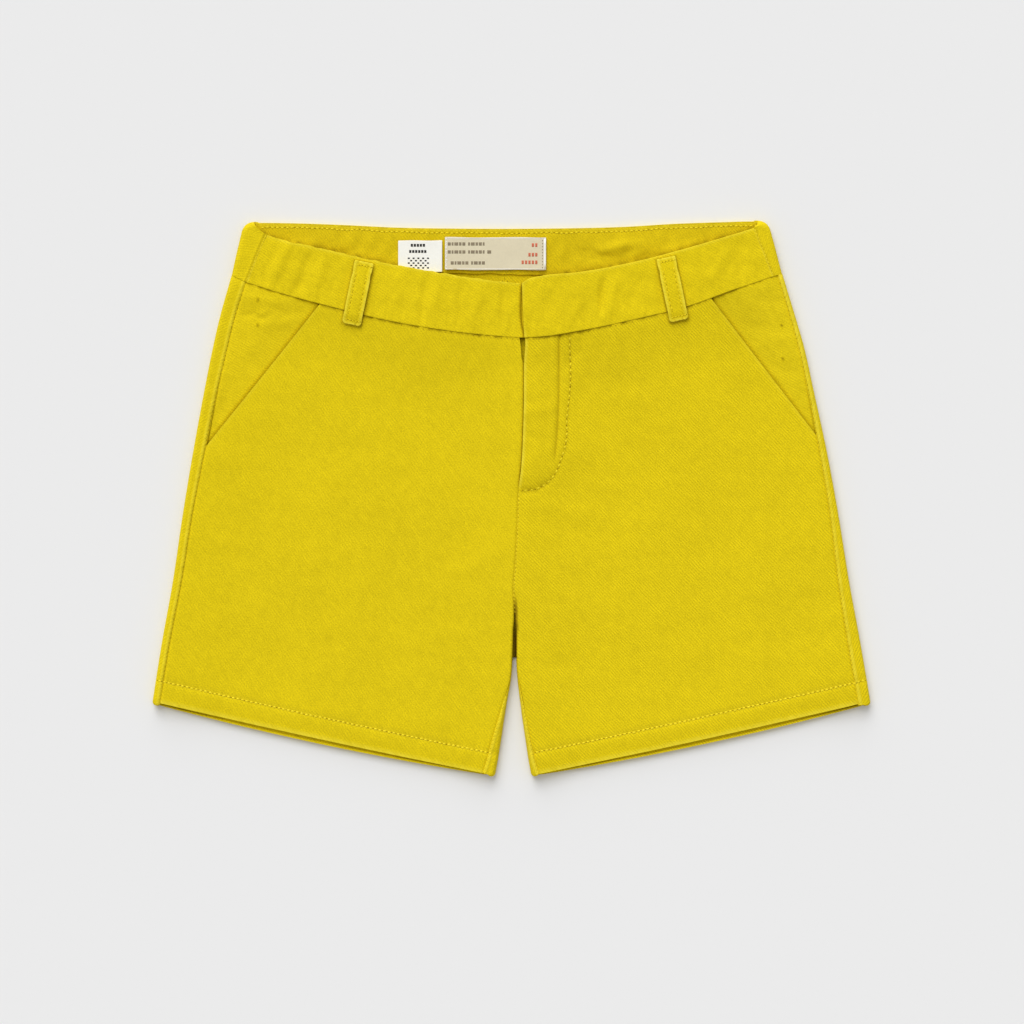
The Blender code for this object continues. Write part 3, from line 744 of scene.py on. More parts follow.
class Plan:
    """Where everything runs, seen from above, and how high the layers lie."""

    fly = Curve.of(FLY_LINE, "height", "x")
    back_seam = Curve.of(BACK_SEAM, "height", "x")
    waist = {side: Curve.of(FRONT_BANDS[side], "x", "seam") for side in Side}
    band_top = {side: Curve.of(FRONT_BANDS[side], "x", "top") for side in Side}
    back_waist = Curve.of(BACK_BAND, "x", "seam")
    back_top = Curve.of(BACK_BAND, "x", "top")
    side_fold = {side: Fold(LEG_SIDES, side, -side.value) for side in Side}
    inner_fold = {side: Fold(LEG_INSIDES, side, side.value) for side in Side}
    band_fold = {side: Fold(BAND_SIDES, side, -side.value) for side in Side}
    fly_stitching = flowing(FLY_STITCHING)
    fly_edge = Curve.of(FLY_EDGE, "height", "x")

    @classmethod
    def hem(cls, x: np.ndarray) -> np.ndarray:
        """The straight line that the hems follow."""
        return HEM_INSIDE + (HEM_SIDE - HEM_INSIDE) * hem_share(x)

    @classmethod
    def front_hem(cls, x: np.ndarray) -> np.ndarray:
        """The front hem's own edge, shorter than the back's and bowed."""
        share = np.clip(hem_share(x), 0, 1)
        return cls.hem(x) + FRONT_SHORT / 2 * (1 + share) - arc(share, FRONT_BOW)

    @classmethod
    def pocket_mouth(cls, side: Side) -> tuple[np.ndarray, np.ndarray]:
        """The two ends of the slanted pocket mouth, top first."""
        top_x = POCKET_TOPS[side]
        top = np.array([top_x, float(cls.waist[side](top_x)) - SEAM / 2])
        return top, cls.side_fold[side].seam_point(POCKET_CORNERS[side], SEAM / 2)

    @classmethod
    def off_mouth(cls, side: Side, x: np.ndarray, y: np.ndarray) -> np.ndarray:
        """How far places lie off the line of the pocket mouth.

        Args:
            side: which pocket.
            x: places across.
            y: places up the shorts.

        Returns:
            The distances, below zero on one side of the line.
        """
        top, foot = cls.pocket_mouth(side)
        along = (foot - top) / np.linalg.norm(foot - top)
        return (x - top[0]) * along[1] - (y - top[1]) * along[0]

    @classmethod
    def past_fly(cls, side: Side, x: np.ndarray, y: np.ndarray) -> np.ndarray:
        """How far places lie from the fly's line towards a side."""
        return (x - cls.fly(np.maximum(y, FORK))) * side.value

    @classmethod
    def opened(cls, y: np.ndarray) -> np.ndarray:
        """How far the legs have parted at a height: 0 above the fork, 1 at its foot."""
        return ease((FORK + FORK_OPENING - y) / FORK_OPENING)

    @classmethod
    def front_lie(cls, side: Side, x: np.ndarray, y: np.ndarray) -> np.ndarray:
        """Height of a front's middle above the surface, before its creases.

        Args:
            side: which front.
            x: places across.
            y: places up the shorts.

        Returns:
            The heights there.
        """
        above, leg = np.maximum(y, FORK), np.minimum(y, FORK)
        middle_x = np.where(y > FORK, cls.fly(above), cls.inner_fold[side].x(leg))
        waist = bump(np.maximum(cls.waist[side](x) - y, 0), 34.0)
        outer = bump(x - cls.side_fold[side].x(y), 40.0)
        fly_reach = 18.0 * ease((y - FLY_FOOT) / 20.0) if side is Side.LEFT else 0.0
        middle = bump(x - middle_x, 30.0 + fly_reach)
        hem = 0.05 * bump(y - cls.hem(x), 22.0)
        rise = (waist**4 + outer**4 + middle**4 + hem**4) ** 0.25
        from_fly = np.maximum(np.abs(x - cls.fly(above)) - 5.0, 0)
        step = FLY_STEP * bump(from_fly, 14.0) * ease((y - FLY_FOOT) / 8.0)
        return FRONT_LIE + FRONT_RISE * np.minimum(rise, 1.1) + side.value * step

    @classmethod
    def front_relief(cls, side: Side, x: np.ndarray, y: np.ndarray) -> np.ndarray:
        """Creases, puckers and seam furrows of a front and of the wraps beside it.

        Args:
            side: which front.
            x: places across.
            y: places up the shorts.

        Returns:
            The height that they add there.
        """
        total = 1.35 * creased(FRONT_CREASES, x, y)
        total = total + 0.10 * unevenness(x, y, 26.0, 3) + 0.05 * unevenness(x, y, 9.0, 4)
        below_waist = cls.waist[side](x) - y
        gathers = wander(x + 0.35 * y, 5.5, 11 + side.value)
        total = total + (0.5 + 0.2 * gathers) * bell(below_waist, 8.0)
        for fold, reach in ((cls.side_fold[side], y), (cls.inner_fold[side], np.minimum(y, FORK))):
            inside = fold.from_seam(x, reach)
            seen = 1.0 if fold is cls.side_fold[side] else ease((FORK - 26.0 - y) / 14.0)
            seen = seen * np.where(np.abs(inside) < 12, 1.0, 0.0)
            furrow = -0.45 * bell(inside - 0.3, 0.7) + 0.5 * bell(inside + 0.9, 0.55)
            ripple = 0.08 * wander(y, 4.2, 21 + side.value) * bell(inside, 3.0)
            total = total + seen * (furrow + ripple)
        above_hem = y - cls.front_hem(x)
        near_hem = bell(above_hem - HEM_DEPTH, 0.9)
        puckers = wander(x, 3.4, 31 + side.value)
        total = total - 0.34 * near_hem + 0.2 * puckers * bell(above_hem - HEM_DEPTH, 2.6)
        total = total + 0.18 * bell(above_hem - HEM_DEPTH / 2, 4.5)
        past_fly = cls.past_fly(side, x, y)
        open_fly = ease((y - FLY_FOOT) / 8.0)
        centre = -0.4 * bell(past_fly, 0.6) * (1 - open_fly) * ease((y - FORK) / 8.0)
        if side is Side.RIGHT:
            lifted = 0.9 * bump(np.maximum(past_fly - 1.4, 0), 14.0) * ease((past_fly - 0.1) / 1.1)
            return total + centre + lifted * open_fly
        low_end = ease((14.0 - y) / 8.0)
        stitched = from_path(cls.fly_stitching, x, y)
        furrow = -(0.28 + 0.5 * low_end) * bell(stitched, 0.9)
        puckers = 0.14 * wander(x + y, 3.1, 37) * bell(stitched, 2.4)
        beside = x - cls.fly_edge(y)
        ridge = -0.75 * bell(beside, 0.75) + 0.3 * bell(beside + 2.6, 1.8)
        return total + centre + furrow + puckers + ridge * ease((y - 17.0) / 8.0)

    @classmethod
    def beside_loop(cls, side: Side, x: np.ndarray, y: np.ndarray) -> np.ndarray:
        """1 along the outline of the side's belt loop, falling off beside it.

        Args:
            side: which loop.
            x: places across.
            y: places up the shorts.

        Returns:
            The closeness to the outline.
        """
        # This closeness places the painted shadow round the belt loop.
        strip = LOOPS[side]
        top, foot = np.array(strip[:2]), np.array(strip[2:])
        length = np.linalg.norm(foot - top)
        down = (foot - top) / length
        along = (x - top[0]) * down[0] + (y - top[1]) * down[1]
        across = np.abs((x - top[0]) * down[1] - (y - top[1]) * down[0])
        outside = np.maximum(across - LOOP_WIDTH / 2, np.maximum(-along, along - length))
        return bell(outside - 0.15, 0.55)

    @classmethod
    def front_wear(cls, side: Side, points: np.ndarray) -> np.ndarray:
        """Paling and darkening of a front: paler hem, lap and pocket-mouth edges, partly rubbed and partly
        painted highlight; painted shade in the crack at the fork, beside the lap, round the loop and in the
        fly and seam furrows; a dark waist seam line.

        Args:
            side: which front.
            points: the cloth's points.

        Returns:
            The paling and darkening there, below zero for seam lines and painted shade.
        """
        x, y = points[:, 0], points[:, 1]
        above_hem = y - cls.front_hem(x)
        # Paler hem edge, partly rubbed and partly painted highlight, and a paler line at the hem's
        # stitching.
        wear = 0.6 * bell(above_hem - 0.3, 1.5) + 0.12 * bell(above_hem - HEM_DEPTH, 1.2)
        wear = wear - 0.05 * ease((HEM_DEPTH - above_hem) / 1.5)
        past_fly = cls.past_fly(side, x, y)
        open_fly = ease((y - FLY_FOOT) / 4.0)
        if side is Side.LEFT:
            # Paler lap edge, partly rubbed and partly painted highlight; then painted shade in the trough
            # beside the fly's edge and along its stitching.
            wear = wear + 0.6 * bell(past_fly - 0.4, 0.8) * open_fly
            wear = wear - 0.3 * bell(x - cls.fly_edge(y), 0.6) * ease((y - 17.0) / 6.0)
            wear = wear - 0.22 * bell(from_path(cls.fly_stitching, x, y), 0.7)
        else:
            # Painted shadow beside the lap's edge.
            wear = wear - 0.4 * bell(past_fly - 0.2, 0.65) * open_fly
        # Painted shade in the centre seam's furrow below the fly.
        wear = wear - 0.25 * bell(past_fly, 0.5) * (1 - open_fly) * ease((y - FORK) / 6.0)
        # Painted shadow round the belt loop.
        wear = wear - 0.5 * cls.beside_loop(side, x, y)
        wear = wear - 0.55 * cls.seam_line(x, cls.waist[side](x) - y)
        # Painted shade in the side seam's furrow.
        seam = cls.side_fold[side].from_seam(x, y)
        wear = wear - 0.2 * bell(seam - 0.2, 0.45) * np.where(np.abs(seam) < 9, 1.0, 0.0)
        # Paler edge along the pocket mouth, partly rubbed and partly painted highlight.
        mouth_foot = cls.pocket_mouth(side)[1]
        beside_mouth = np.where(y > mouth_foot[1], 1.0, 0.0)
        wear = wear + 0.18 * bell(cls.off_mouth(side, x, y), 1.1) * beside_mouth
        # Painted shade on the front's rolled edge in the crack between the legs.
        fold = cls.inner_fold[side]
        low = cls.opened(y) * ease((y - BACK_FORK + 8.0) / 8.0)
        from_edge = (x - fold.x(np.minimum(y, FORK))) * side.value
        wear = wear - 0.6 * low * bell(from_edge - 0.1, 0.7)
        # Painted shade of a dark crack above the fork, drawn where the cloth has no gap.
        if side is Side.LEFT:
            width = 0.5 * ease((FORK + 16.0 - y) / 12.0)
            painted_crack_shade = bell(np.maximum(np.abs(from_edge - width - 0.1) - width, 0), 0.35)
            above_fork = ease((y - FORK + 8.0) / 6.0) * ease((FORK + 17.0 - y) / 12.0)
            wear = wear - 0.55 * painted_crack_shade * above_fork
        return wear

    @classmethod
    def facing_wear(cls, side: Side, points: np.ndarray) -> np.ndarray:
        """Paling and darkening of a pocket facing: a slight overall paling as painted light, a dark waist
        seam line, painted shadow under the front's edge at the mouth, and a few dark specks.

        Args:
            side: which facing.
            points: the cloth's points.

        Returns:
            The paling and darkening there.
        """
        x, y = points[:, 0], points[:, 1]
        # The small constant is painted light that lifts the facing's shading.
        wear = 0.04 - 0.5 * cls.seam_line(x, cls.waist[side](x) - y)
        # Painted shadow under the front's edge at the pocket mouth.
        wear = wear - 0.4 * bell(cls.off_mouth(side, x, y), 0.8)
        for speck_x, speck_y in SPECKS[side]:
            wear = wear - 0.9 * bell(np.hypot(x - speck_x, y - speck_y), 0.7)
        return wear

    @classmethod
    def back_wear(cls, side: Side, points: np.ndarray) -> np.ndarray:
        """Paling and darkening of a back: paler folds and seam ridges, partly rubbed and partly painted
        highlight, and painted shade on its middle in the crack between the legs.

        Args:
            side: which back.
            points: the cloth's points.

        Returns:
            The paling and darkening there.
        """
        x, y, z = points.T
        upper = ease((z - 2.2) / 1.5)
        folds = ((cls.side_fold[side], y), (cls.inner_fold[side], np.minimum(y, FORK - 20.0)))
        wear = np.zeros(len(x))
        # Paler seam ridge and fold edge on the top side, partly rubbed and partly painted highlight.
        for fold, reach in folds:
            edge = (x - fold.x(reach)) * fold.inwards
            near = np.where(np.abs(edge) < 14, upper, 0.0)
            line = 0.3 if side is Side.RIGHT else 0.5
            wear = wear + near * (line * bell(fold.from_seam(x, reach) + 0.9, 0.7) + 0.25 * bell(edge, 0.8))
        # Painted shade on the back's middle in the crack between the legs, below the fork.
        crack_shade = bell(x - cls.back_seam(y), 2.6) * ease((FORK + 2.0 - y) / 9.0)
        return np.where(y > BACK_FORK - 0.5, wear - crack_shade, wear)

    @classmethod
    def band_wear(cls, side: Side, points: np.ndarray) -> np.ndarray:
        """Paling and darkening of a front band: paler top and lap edges, partly rubbed and partly painted
        highlight, a paler line at its side seam, a dark waist seam line, and painted shadow beside the lap
        and round the loop.

        Args:
            side: which half of the band.
            points: the cloth's points.

        Returns:
            The paling and darkening there.
        """
        x, y = points[:, 0], points[:, 1]
        below_top = cls.band_top[side](x) - y
        seam = cls.band_fold[side].from_seam(x, y)
        beside_seam = np.where(np.abs(seam) < 6, 0.7 * bell(seam - 0.4, 0.45), 0.0)
        # Paler top edge, partly rubbed and partly painted highlight, and a paler line at the side seam.
        wear = 0.35 * bell(below_top - 0.4, 0.7) + beside_seam
        wear = wear - 0.5 * cls.seam_line(x, y - cls.waist[side](x))
        lap = x - cls.fly(y)
        # Left: paler lap edge, partly rubbed and partly painted highlight. Right: painted shadow beside the
        # lap.
        wear = wear + (0.4 * bell(lap - 0.3, 0.8) if side is Side.LEFT else -0.55 * bell(lap + 0.3, 0.7))
        # Painted shadow round the belt loop.
        return wear - 0.5 * cls.beside_loop(side, x, y)

    @classmethod
    def roll_wear_and_painted_light(cls, points: np.ndarray) -> np.ndarray:
        """Paling and darkening of the band behind: painted shade beside its side seams, and a paler rolled
        edge, partly rubbed and partly painted highlight.
        """
        x, y, z = points.T
        # Paler rolled edge, partly rubbed and partly painted highlight.
        wear = 0.15 * bell(cls.back_top(x) - y, 0.8)
        # Painted shade beside the side seams, on the top side only.
        for side, fold in cls.band_fold.items():
            upper = (x * side.value > 100) & (z > 2.8)
            beside = np.where(upper, bell(fold.from_seam(x, y) + 0.4, 0.35), 0.0)
            wear = wear - (0.3 if side is Side.RIGHT else 0.1) * beside
        return wear

    @classmethod
    def seam_line(cls, x: np.ndarray, off: np.ndarray) -> np.ndarray:
        """How dark the waist seam is at a place and at a distance off the seam."""
        return (0.6 + 0.25 * wander(x, 13.0, 91)) * bell(off, 0.38)

    @classmethod
    def inside_wear(cls, points: np.ndarray) -> np.ndarray:
        """Paling and darkening of the band's inside: painted shadow along the front band's top edge, and a
        paler top edge of its own, partly rubbed and partly painted highlight.
        """
        x, y = points[:, 0], points[:, 1]
        front = np.where(x < cls.fly(108.0), cls.band_top[Side.RIGHT](x), cls.band_top[Side.LEFT](x))
        own = bell(cls.back_top(x) - y, 1.2)
        # Paler own top edge, partly rubbed and partly painted highlight; painted shadow cast along the front
        # band's top edge.
        return 0.3 * own - 0.42 * bell(y - front, 1.7) * (0.6 + 0.5 * wander(x, 7.0, 77))

    @classmethod
    def inner_edge(cls, side: Side, y: float, lap: float) -> float:
        """Where a front's edge at the middle runs: along the fly, then on the leg's fold.

        Args:
            side: which front.
            y: the place up the shorts.
            lap: how far the front reaches past the fly's line.

        Returns:
            The place across.
        """
        fold, opened = cls.inner_fold[side], float(cls.opened(y))
        below = float(fold.seam_point(min(y, FORK), SEAM / 2)[0])
        return (1 - opened) * (float(cls.fly(max(y, FORK))) + lap) + opened * below

    @classmethod
    def front_top(cls, side: Side, x: np.ndarray, y: np.ndarray) -> np.ndarray:
        """The whole height of a front and of the wraps beside it, rolled off at the fork.

        Args:
            side: which front.
            x: places across.
            y: places up the shorts.

        Returns:
            The heights there.
        """
        high = cls.front_lie(side, x, y) + cls.front_relief(side, x, y)
        fold, opened = cls.inner_fold[side], cls.opened(y)
        above = cls.fly(np.maximum(y, FORK)) - side.value * HALF
        edge = (1 - opened) * above + opened * fold.x(np.minimum(y, FORK))
        reach = FOLD_REACH * (0.5 + 0.5 * ease((BACK_FORK - 8.0 - y) / 22.0))
        share = rolled_off((x - edge) * side.value, reach)
        return high - opened * (1 - share) * (high - BACK_LIE)

    @classmethod
    def under_side(cls, x: np.ndarray, y: np.ndarray) -> np.ndarray:
        """Height of the back's middle above the surface, with furrows along its stitching.

        Args:
            x: places across.
            y: places up the shorts.

        Returns:
            The heights there.
        """
        above_hem = y - cls.hem(x) + arc(np.clip(hem_share(x), 0, 1), BACK_BOW)
        furrows = 0.24 * bell(above_hem - HEM_DEPTH, 1.0) + 0.2 * bell(x - cls.back_seam(y), 0.9)
        furrows = furrows + 0.2 * bell(y - cls.back_waist(x), 1.0)
        creases = np.maximum(creased(BACK_CREASES, x, y) + 0.05 * unevenness(x, y, 24.0, 17), 0)
        swell = 0.8 * bell(y - 107.0, 3.4) * bell(x - 5.0, 27.0)
        return BACK_LIE + furrows + creases + swell

    @classmethod
    def band_height(cls, side: Side, x: np.ndarray, y: np.ndarray) -> np.ndarray:
        """Height of a front band's outer layer, with its ripples.

        Args:
            side: which half of the band.
            x: places across.
            y: places up the shorts.

        Returns:
            The heights there.
        """
        if side is Side.RIGHT:
            past = cls.fly(y) - x
            fly = -0.3 * bump(np.maximum(past, 0), 26.0)
            fly = fly - (BAND_DIP - 0.3) * (1 - ease((past - 0.1) / 1.2))
        else:
            fly = BAND_LIFT * bump(np.maximum(x - cls.fly(y) - UNDERLAP - 2.0, 0), 26.0)
        shown = ease((cls.fly(y) + 1.0 - x) / 4.0) if side is Side.RIGHT else 1.0
        above = y - cls.waist[side](x)
        relief = 2.8 * creased(BAND_CREASES, x, y) + 0.14 * unevenness(x, y, 12.0, 8)
        relief = relief + 0.07 * unevenness(x, y, 4.5, 9)
        relief = relief + 0.16 * wander(x, 5.5, 41) * bell(above - 1.0, 7.0)
        relief = relief + 0.08 * wander(x, 7.0, 42) * bell(above - BAND_HEIGHT, 6.0)
        return BAND_LIE + 0.15 + fly + shown * relief


# ---------------------------------------------------------------- shader maths


def arithmetic(operation: str, reflected: bool = False) -> Callable:
    """An operator for sockets, which adds one Math node.

    Args:
        operation: the node's operation.
        reflected: whether the socket stands on the operator's right.

    Returns:
        The method.
    """

    def operate(self: "Wire", other: Union["Wire", float]) -> "Wire":
        """The node's output."""
        return self.maths(operation, *((other, self) if reflected else (self, other)))

    return operate


class Wire:
    """A socket of a shader, with the arithmetic that can be written on it."""

    def __init__(self, shader: "Shader", socket: bpy.types.NodeSocket) -> None:
        """Wrap one output socket."""
        self.shader = shader
        self.socket = socket

    def maths(self, operation: str, *values: Union["Wire", float]) -> "Wire":
        """One Math node on some values."""
        sockets = dict(enumerate(values))
        return self.shader.node("ShaderNodeMath", {"operation": operation}, sockets)

    __add__, __radd__ = arithmetic("ADD"), arithmetic("ADD", True)
    __sub__, __rsub__ = arithmetic("SUBTRACT"), arithmetic("SUBTRACT", True)
    __mul__, __rmul__ = arithmetic("MULTIPLY"), arithmetic("MULTIPLY", True)

    def __neg__(self) -> "Wire":
        """-self."""
        return self.maths("MULTIPLY", self, -1.0)

    def sine(self) -> "Wire":
        """The sine of this value."""
        return self.maths("SINE", self)


class Shader:
    """A material that is written as expressions."""

    def __init__(self, name: str) -> None:
        """Start a material with its one Principled shader.

        Args:
            name: the material's name.
        """
        self.material = bpy.data.materials.new(name)
        self.material.use_nodes = True
        self.tree = self.material.node_tree
        self.surface = self.tree.nodes["Principled BSDF"]

    def node(
        self,
        kind: str,
        settings: Optional[dict] = None,
        sockets: Optional[dict] = None,
        output: Union[int, str] = 0,
    ) -> Wire:
        """Add any node.

        Args:
            kind: the node's type.
            settings: what is set on the node, before its sockets.
            sockets: values or wires by socket name or number.
            output: which of its outputs to hand back.

        Returns:
            That output.
        """
        node = self.tree.nodes.new(kind)
        for name, value in (settings or {}).items():
            setattr(node, name, value)
        for key, value in (sockets or {}).items():
            self.connect(node.inputs[key], value)
        return Wire(self, node.outputs[output])

    def connect(self, socket: bpy.types.NodeSocket, value: Union[Wire, float, tuple]) -> None:
        """Link a wire to a socket, or set its value."""
        if isinstance(value, Wire):
            self.tree.links.new(value.socket, socket)
        else:
            socket.default_value = value

    def mix(self, factor: Wire, dark: Union[tuple, Wire], light: Union[tuple, Wire]) -> Wire:
        """A colour between two, by a factor that is held between 0 and 1."""
        settings = {"data_type": "RGBA", "clamp_factor": True}
        return self.node("ShaderNodeMix", settings, {0: factor, 6: dark, 7: light}, 2)

    def noise(self, place: Wire, scale: float, detail: float = 2.0) -> Wire:
        """Cloudy noise around zero."""
        sockets = {"Vector": place, "Scale": scale, "Detail": detail, "Roughness": 0.6}
        return self.node("ShaderNodeTexNoise", {}, sockets) - 0.5

    def dress(self, values: dict) -> None:
        """Connect or set sockets of the surface.

        Args:
            values: wires or numbers by socket name.
        """
        for name, value in values.items():
            self.connect(self.surface.inputs[name], value)


def shade(colour: Sequence[float], factor: float) -> tuple[float, float, float, float]:
    """A colour made lighter or darker."""
    return (*(min(c * factor, 1.0) for c in colour), 1.0)


@dataclass(frozen=True)
class Twill:
    """Garment-dyed cotton twill, with its diagonal wales and uneven dye."""

    name: str
    slot: str
    colour: tuple[float, float, float]
    wale_turn: float  # degrees that the wales lean from the vertical
    wale_pitch: float = 1.0
    wale_share: float = 0.35
    wale_depth: float = 0.5
    yarn_pitch: float = 0.43
    contrast: float = 0.2

    def material(self) -> bpy.types.Material:
        """The cloth's material, on the piece's own flat pattern.

        Returns:
            The material.
        """
        shader = Shader(self.name)
        flat = shader.node("ShaderNodeUVMap", {"uv_map": "cut"})
        turned = shader.node(
            "ShaderNodeMapping",
            {"vector_type": "POINT"},
            {"Vector": flat, "Rotation": (0, 0, math.radians(-self.wale_turn))},
        )
        stretched = shader.node(
            "ShaderNodeMapping",
            {"vector_type": "POINT"},
            {"Vector": turned, "Scale": (1.0, 0.30, 1.0)},
        )
        across = shader.node("ShaderNodeSeparateXYZ", {}, {"Vector": turned}, "X")
        drift = shader.noise(turned, 160.0)
        wale = (across * (2 * math.pi / (self.wale_pitch * MM)) + drift * 4.0).sine()
        turn = 2 * math.pi / (self.yarn_pitch * MM)
        warp, weft = (
            (shader.node("ShaderNodeSeparateXYZ", {}, {"Vector": flat}, way) * turn + drift * 5.0).sine()
            for way in "XY"
        )
        weave = warp * (0.6 + weft * 0.4) + weft * 0.25
        yarn = shader.noise(turned, 1250.0, 1.0)
        slub = shader.noise(stretched, 520.0, 1.0)
        dye = shader.noise(flat, 190.0, 2.0)
        wash = shader.noise(flat, 24.0, 2.0)
        fibre = shader.noise(flat, 2100.0, 1.0)
        strength = 0.7 + dye * 2.4
        factor = 0.5 + wale * self.wale_share * strength + yarn * 0.95 + slub * 0.4
        factor = factor + weave * 0.16 + dye * 0.35 + wash * 0.35 + fibre * 1.5
        cloth = shader.mix(
            factor,
            shade(self.colour, 1 - self.contrast * 1.15),
            shade(self.colour, 1 + self.contrast),
        )
        shader.dress(
            {
                "Base Color": self.worn_and_painted_light(shader, cloth, slub),
                "Roughness": 0.88 + yarn * 0.12,
                "Normal": self.relief(shader, wale * strength + weave * 0.9, yarn, slub),
            }
        )
        shader.dress({"Specular IOR Level": 0.08, "Sheen Weight": 0.05, "Sheen Roughness": 0.5})
        shader.dress({"Sheen Tint": SHEEN_YELLOW})
        return shader.material

    def worn_and_painted_light(self, shader: Shader, cloth: Wire, slub: Wire) -> Wire:
        """The cloth's colour, paler where the attribute is above zero, for rubbed edges and painted
        highlights, and darker below zero, for seam lines, specks and painted shade.

        Args:
            shader: the material.
            cloth: the colour of the cloth.
            slub: noise that breaks up the paling from rubbing and painted highlight.

        Returns:
            The colour.
        """
        wear = shader.node("ShaderNodeAttribute", {"attribute_name": "wear"}, output="Fac")
        # Above zero: paler for rubbed edges and painted highlights; below zero: darker for seam lines,
        # specks and painted shade.
        pale = shader.mix(wear * (0.85 + slub * 1.6), cloth, WORN_AND_HIGHLIGHT_YELLOW)
        return shader.mix(-wear, pale, DARK_MARK_AND_SHADE_YELLOW)

    def relief(self, shader: Shader, wale: Wire, yarn: Wire, slub: Wire) -> Wire:
        """The bump of the weave.

        Args:
            shader: the material.
            wale: the wales.
            yarn: the fine noise.
            slub: the coarser noise.

        Returns:
            The normal.
        """
        height = wale * self.wale_depth + yarn * 1.0 + slub * 0.9
        sockets = {"Height": height, "Strength": 0.6, "Distance": 0.1 * MM}
        return shader.node("ShaderNodeBump", {}, sockets)


@dataclass(frozen=True)
class Plain:
    """A finish with one colour, softened by fine noise: thread, tape, and the dark ovals of painted shade at
    needle pits.
    """

    name: str
    slot: str
    colour: tuple[float, float, float]
    roughness: float = 0.8
    grain: float = 900.0
    contrast: float = 0.08
    ribs: float = 0.0  # pitch of woven ribs across the piece

    def material(self) -> bpy.types.Material:
        """The finish's material, on Object coordinates.

        Returns:
            The material.
        """
        shader = Shader(self.name)
        place = shader.node("ShaderNodeTexCoord", output="Object")
        fine = shader.noise(place, self.grain)
        broad = shader.noise(place, self.grain / 9)
        factor = 0.5 + fine * 1.2 + broad * 0.6
        height = fine
        if self.ribs:
            along = shader.node("ShaderNodeSeparateXYZ", {}, {"Vector": place}, "X")
            up = shader.node("ShaderNodeSeparateXYZ", {}, {"Vector": place}, "Y")
            turn = 2 * math.pi / (self.ribs * MM)
            weave = (along * turn).sine() * (up * turn).sine()
            factor = factor + weave * 0.5
            height = height + weave
        shader.dress(
            {
                "Base Color": shader.mix(
                    factor, shade(self.colour, 1 - self.contrast), shade(self.colour, 1 + self.contrast)
                ),
                "Roughness": self.roughness,
                "Normal": shader.node(
                    "ShaderNodeBump", {}, {"Height": height, "Strength": 0.4, "Distance": 0.05 * MM}
                ),
                "Specular IOR Level": 0.12,
            }
        )
        return shader.material


YELLOW = (0.735, 0.565, 0.0060)
# A lighter copy of the twill's colour: painted light for the right pocket facing.
PAINTED_LIGHT_YELLOW = (0.7754, 0.5904, 0.0057)
# The pale and dark ends of that mix: pale for rubbed edges and painted highlights, dark for seam lines,
# specks and painted shade.
WORN_AND_HIGHLIGHT_YELLOW = (0.86, 0.72, 0.050, 1.0)
DARK_MARK_AND_SHADE_YELLOW = (0.13, 0.065, 0.0015, 1.0)
SHEEN_YELLOW = (1.0, 0.8, 0.05, 1.0)


class Finishes:
    """Every finish of the shorts, each made once."""

    right_leg = Twill("right_leg_twill", "leg_twill", YELLOW, 36.0, 1.30, 0.14)
    left_leg = Twill("left_leg_twill", "leg_twill", YELLOW, 44.0, 1.22, 0.34)
    hip = Twill("hip_twill", "leg_twill", YELLOW, 60.0, 1.2, 0.14)
    # A lighter copy of the hip twill: painted light for the right pocket facing.
    paler_hip = Twill("paler_hip_twill", "leg_twill", PAINTED_LIGHT_YELLOW, 60.0, 1.2, 0.14)
    band = Twill("band_twill", "band_twill", (0.745, 0.572, 0.0062), 56.0, 1.2, 0.14)
    inside = Twill("inside_twill", "inside_twill", (0.675, 0.500, 0.0056), 40.0, 1.2, 0.16)
    thread = Plain("sewing_thread", "band_twill", (0.84, 0.68, 0.022), 0.75, 1500.0, 0.1)
    # Dark ovals at the needle pits: painted shade.
    hole = Plain("needle_holes", "leg_twill", (0.33, 0.22, 0.003), 0.95)
    white_tape = Plain("white_tape", "white_tape", (0.90, 0.89, 0.82), 0.8, 900.0, 0.04, 0.5)
    beige_tape = Plain("beige_tape", "beige_tape", (0.71, 0.635, 0.45), 0.8, 900.0, 0.05, 0.5)
    black_weft = Plain("black_weft", "white_tape", (0.030, 0.028, 0.025), 0.85, 2500.0, 0.3)
    brown_weft = Plain("brown_weft", "beige_tape", (0.27, 0.22, 0.145), 0.85, 2500.0, 0.3)
    red_weft = Plain("red_weft", "beige_tape", (0.60, 0.16, 0.09), 0.85, 2500.0, 0.3)
    white_weft = Plain("white_weft", "white_tape", (0.88, 0.87, 0.84), 0.8, 900.0, 0.04)
    made: dict = {}

    @classmethod
    def material(cls, finish: Union[Twill, Plain]) -> bpy.types.Material:
        """The material of a finish, made the first time that it is asked for."""
        if finish.name not in cls.made:
            cls.made[finish.name] = finish.material()
        return cls.made[finish.name]


# ---------------------------------------------------------------- meshes


def new_piece(
    name: str,
    points: np.ndarray,
    faces: Sequence[Sequence[int]],
    finish: Union[Twill, Plain],
) -> bpy.types.Object:
    """Put a mesh in the scene as a piece of the shorts.

    Args:
        name: the piece's name.
        points: its points in millimetres.
        faces: its faces.
        finish: its finish.

    Returns:
        The object, at the origin and in metres.
    """
    data = bpy.data.meshes.new(name)
    data.from_pydata((np.asarray(points) * MM).tolist(), [], faces)
    data.materials.append(Finishes.material(finish))
    data.shade_smooth()
    piece = bpy.data.objects.new(name, data)
    bpy.context.scene.collection.objects.link(piece)
    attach(piece, "root")
    return piece


def select_only(piece: bpy.types.Object) -> None:
    """Make one object the active and only selected one."""
    bpy.ops.object.select_all(action="DESELECT")
    piece.select_set(True)
    bpy.context.view_layer.objects.active = piece


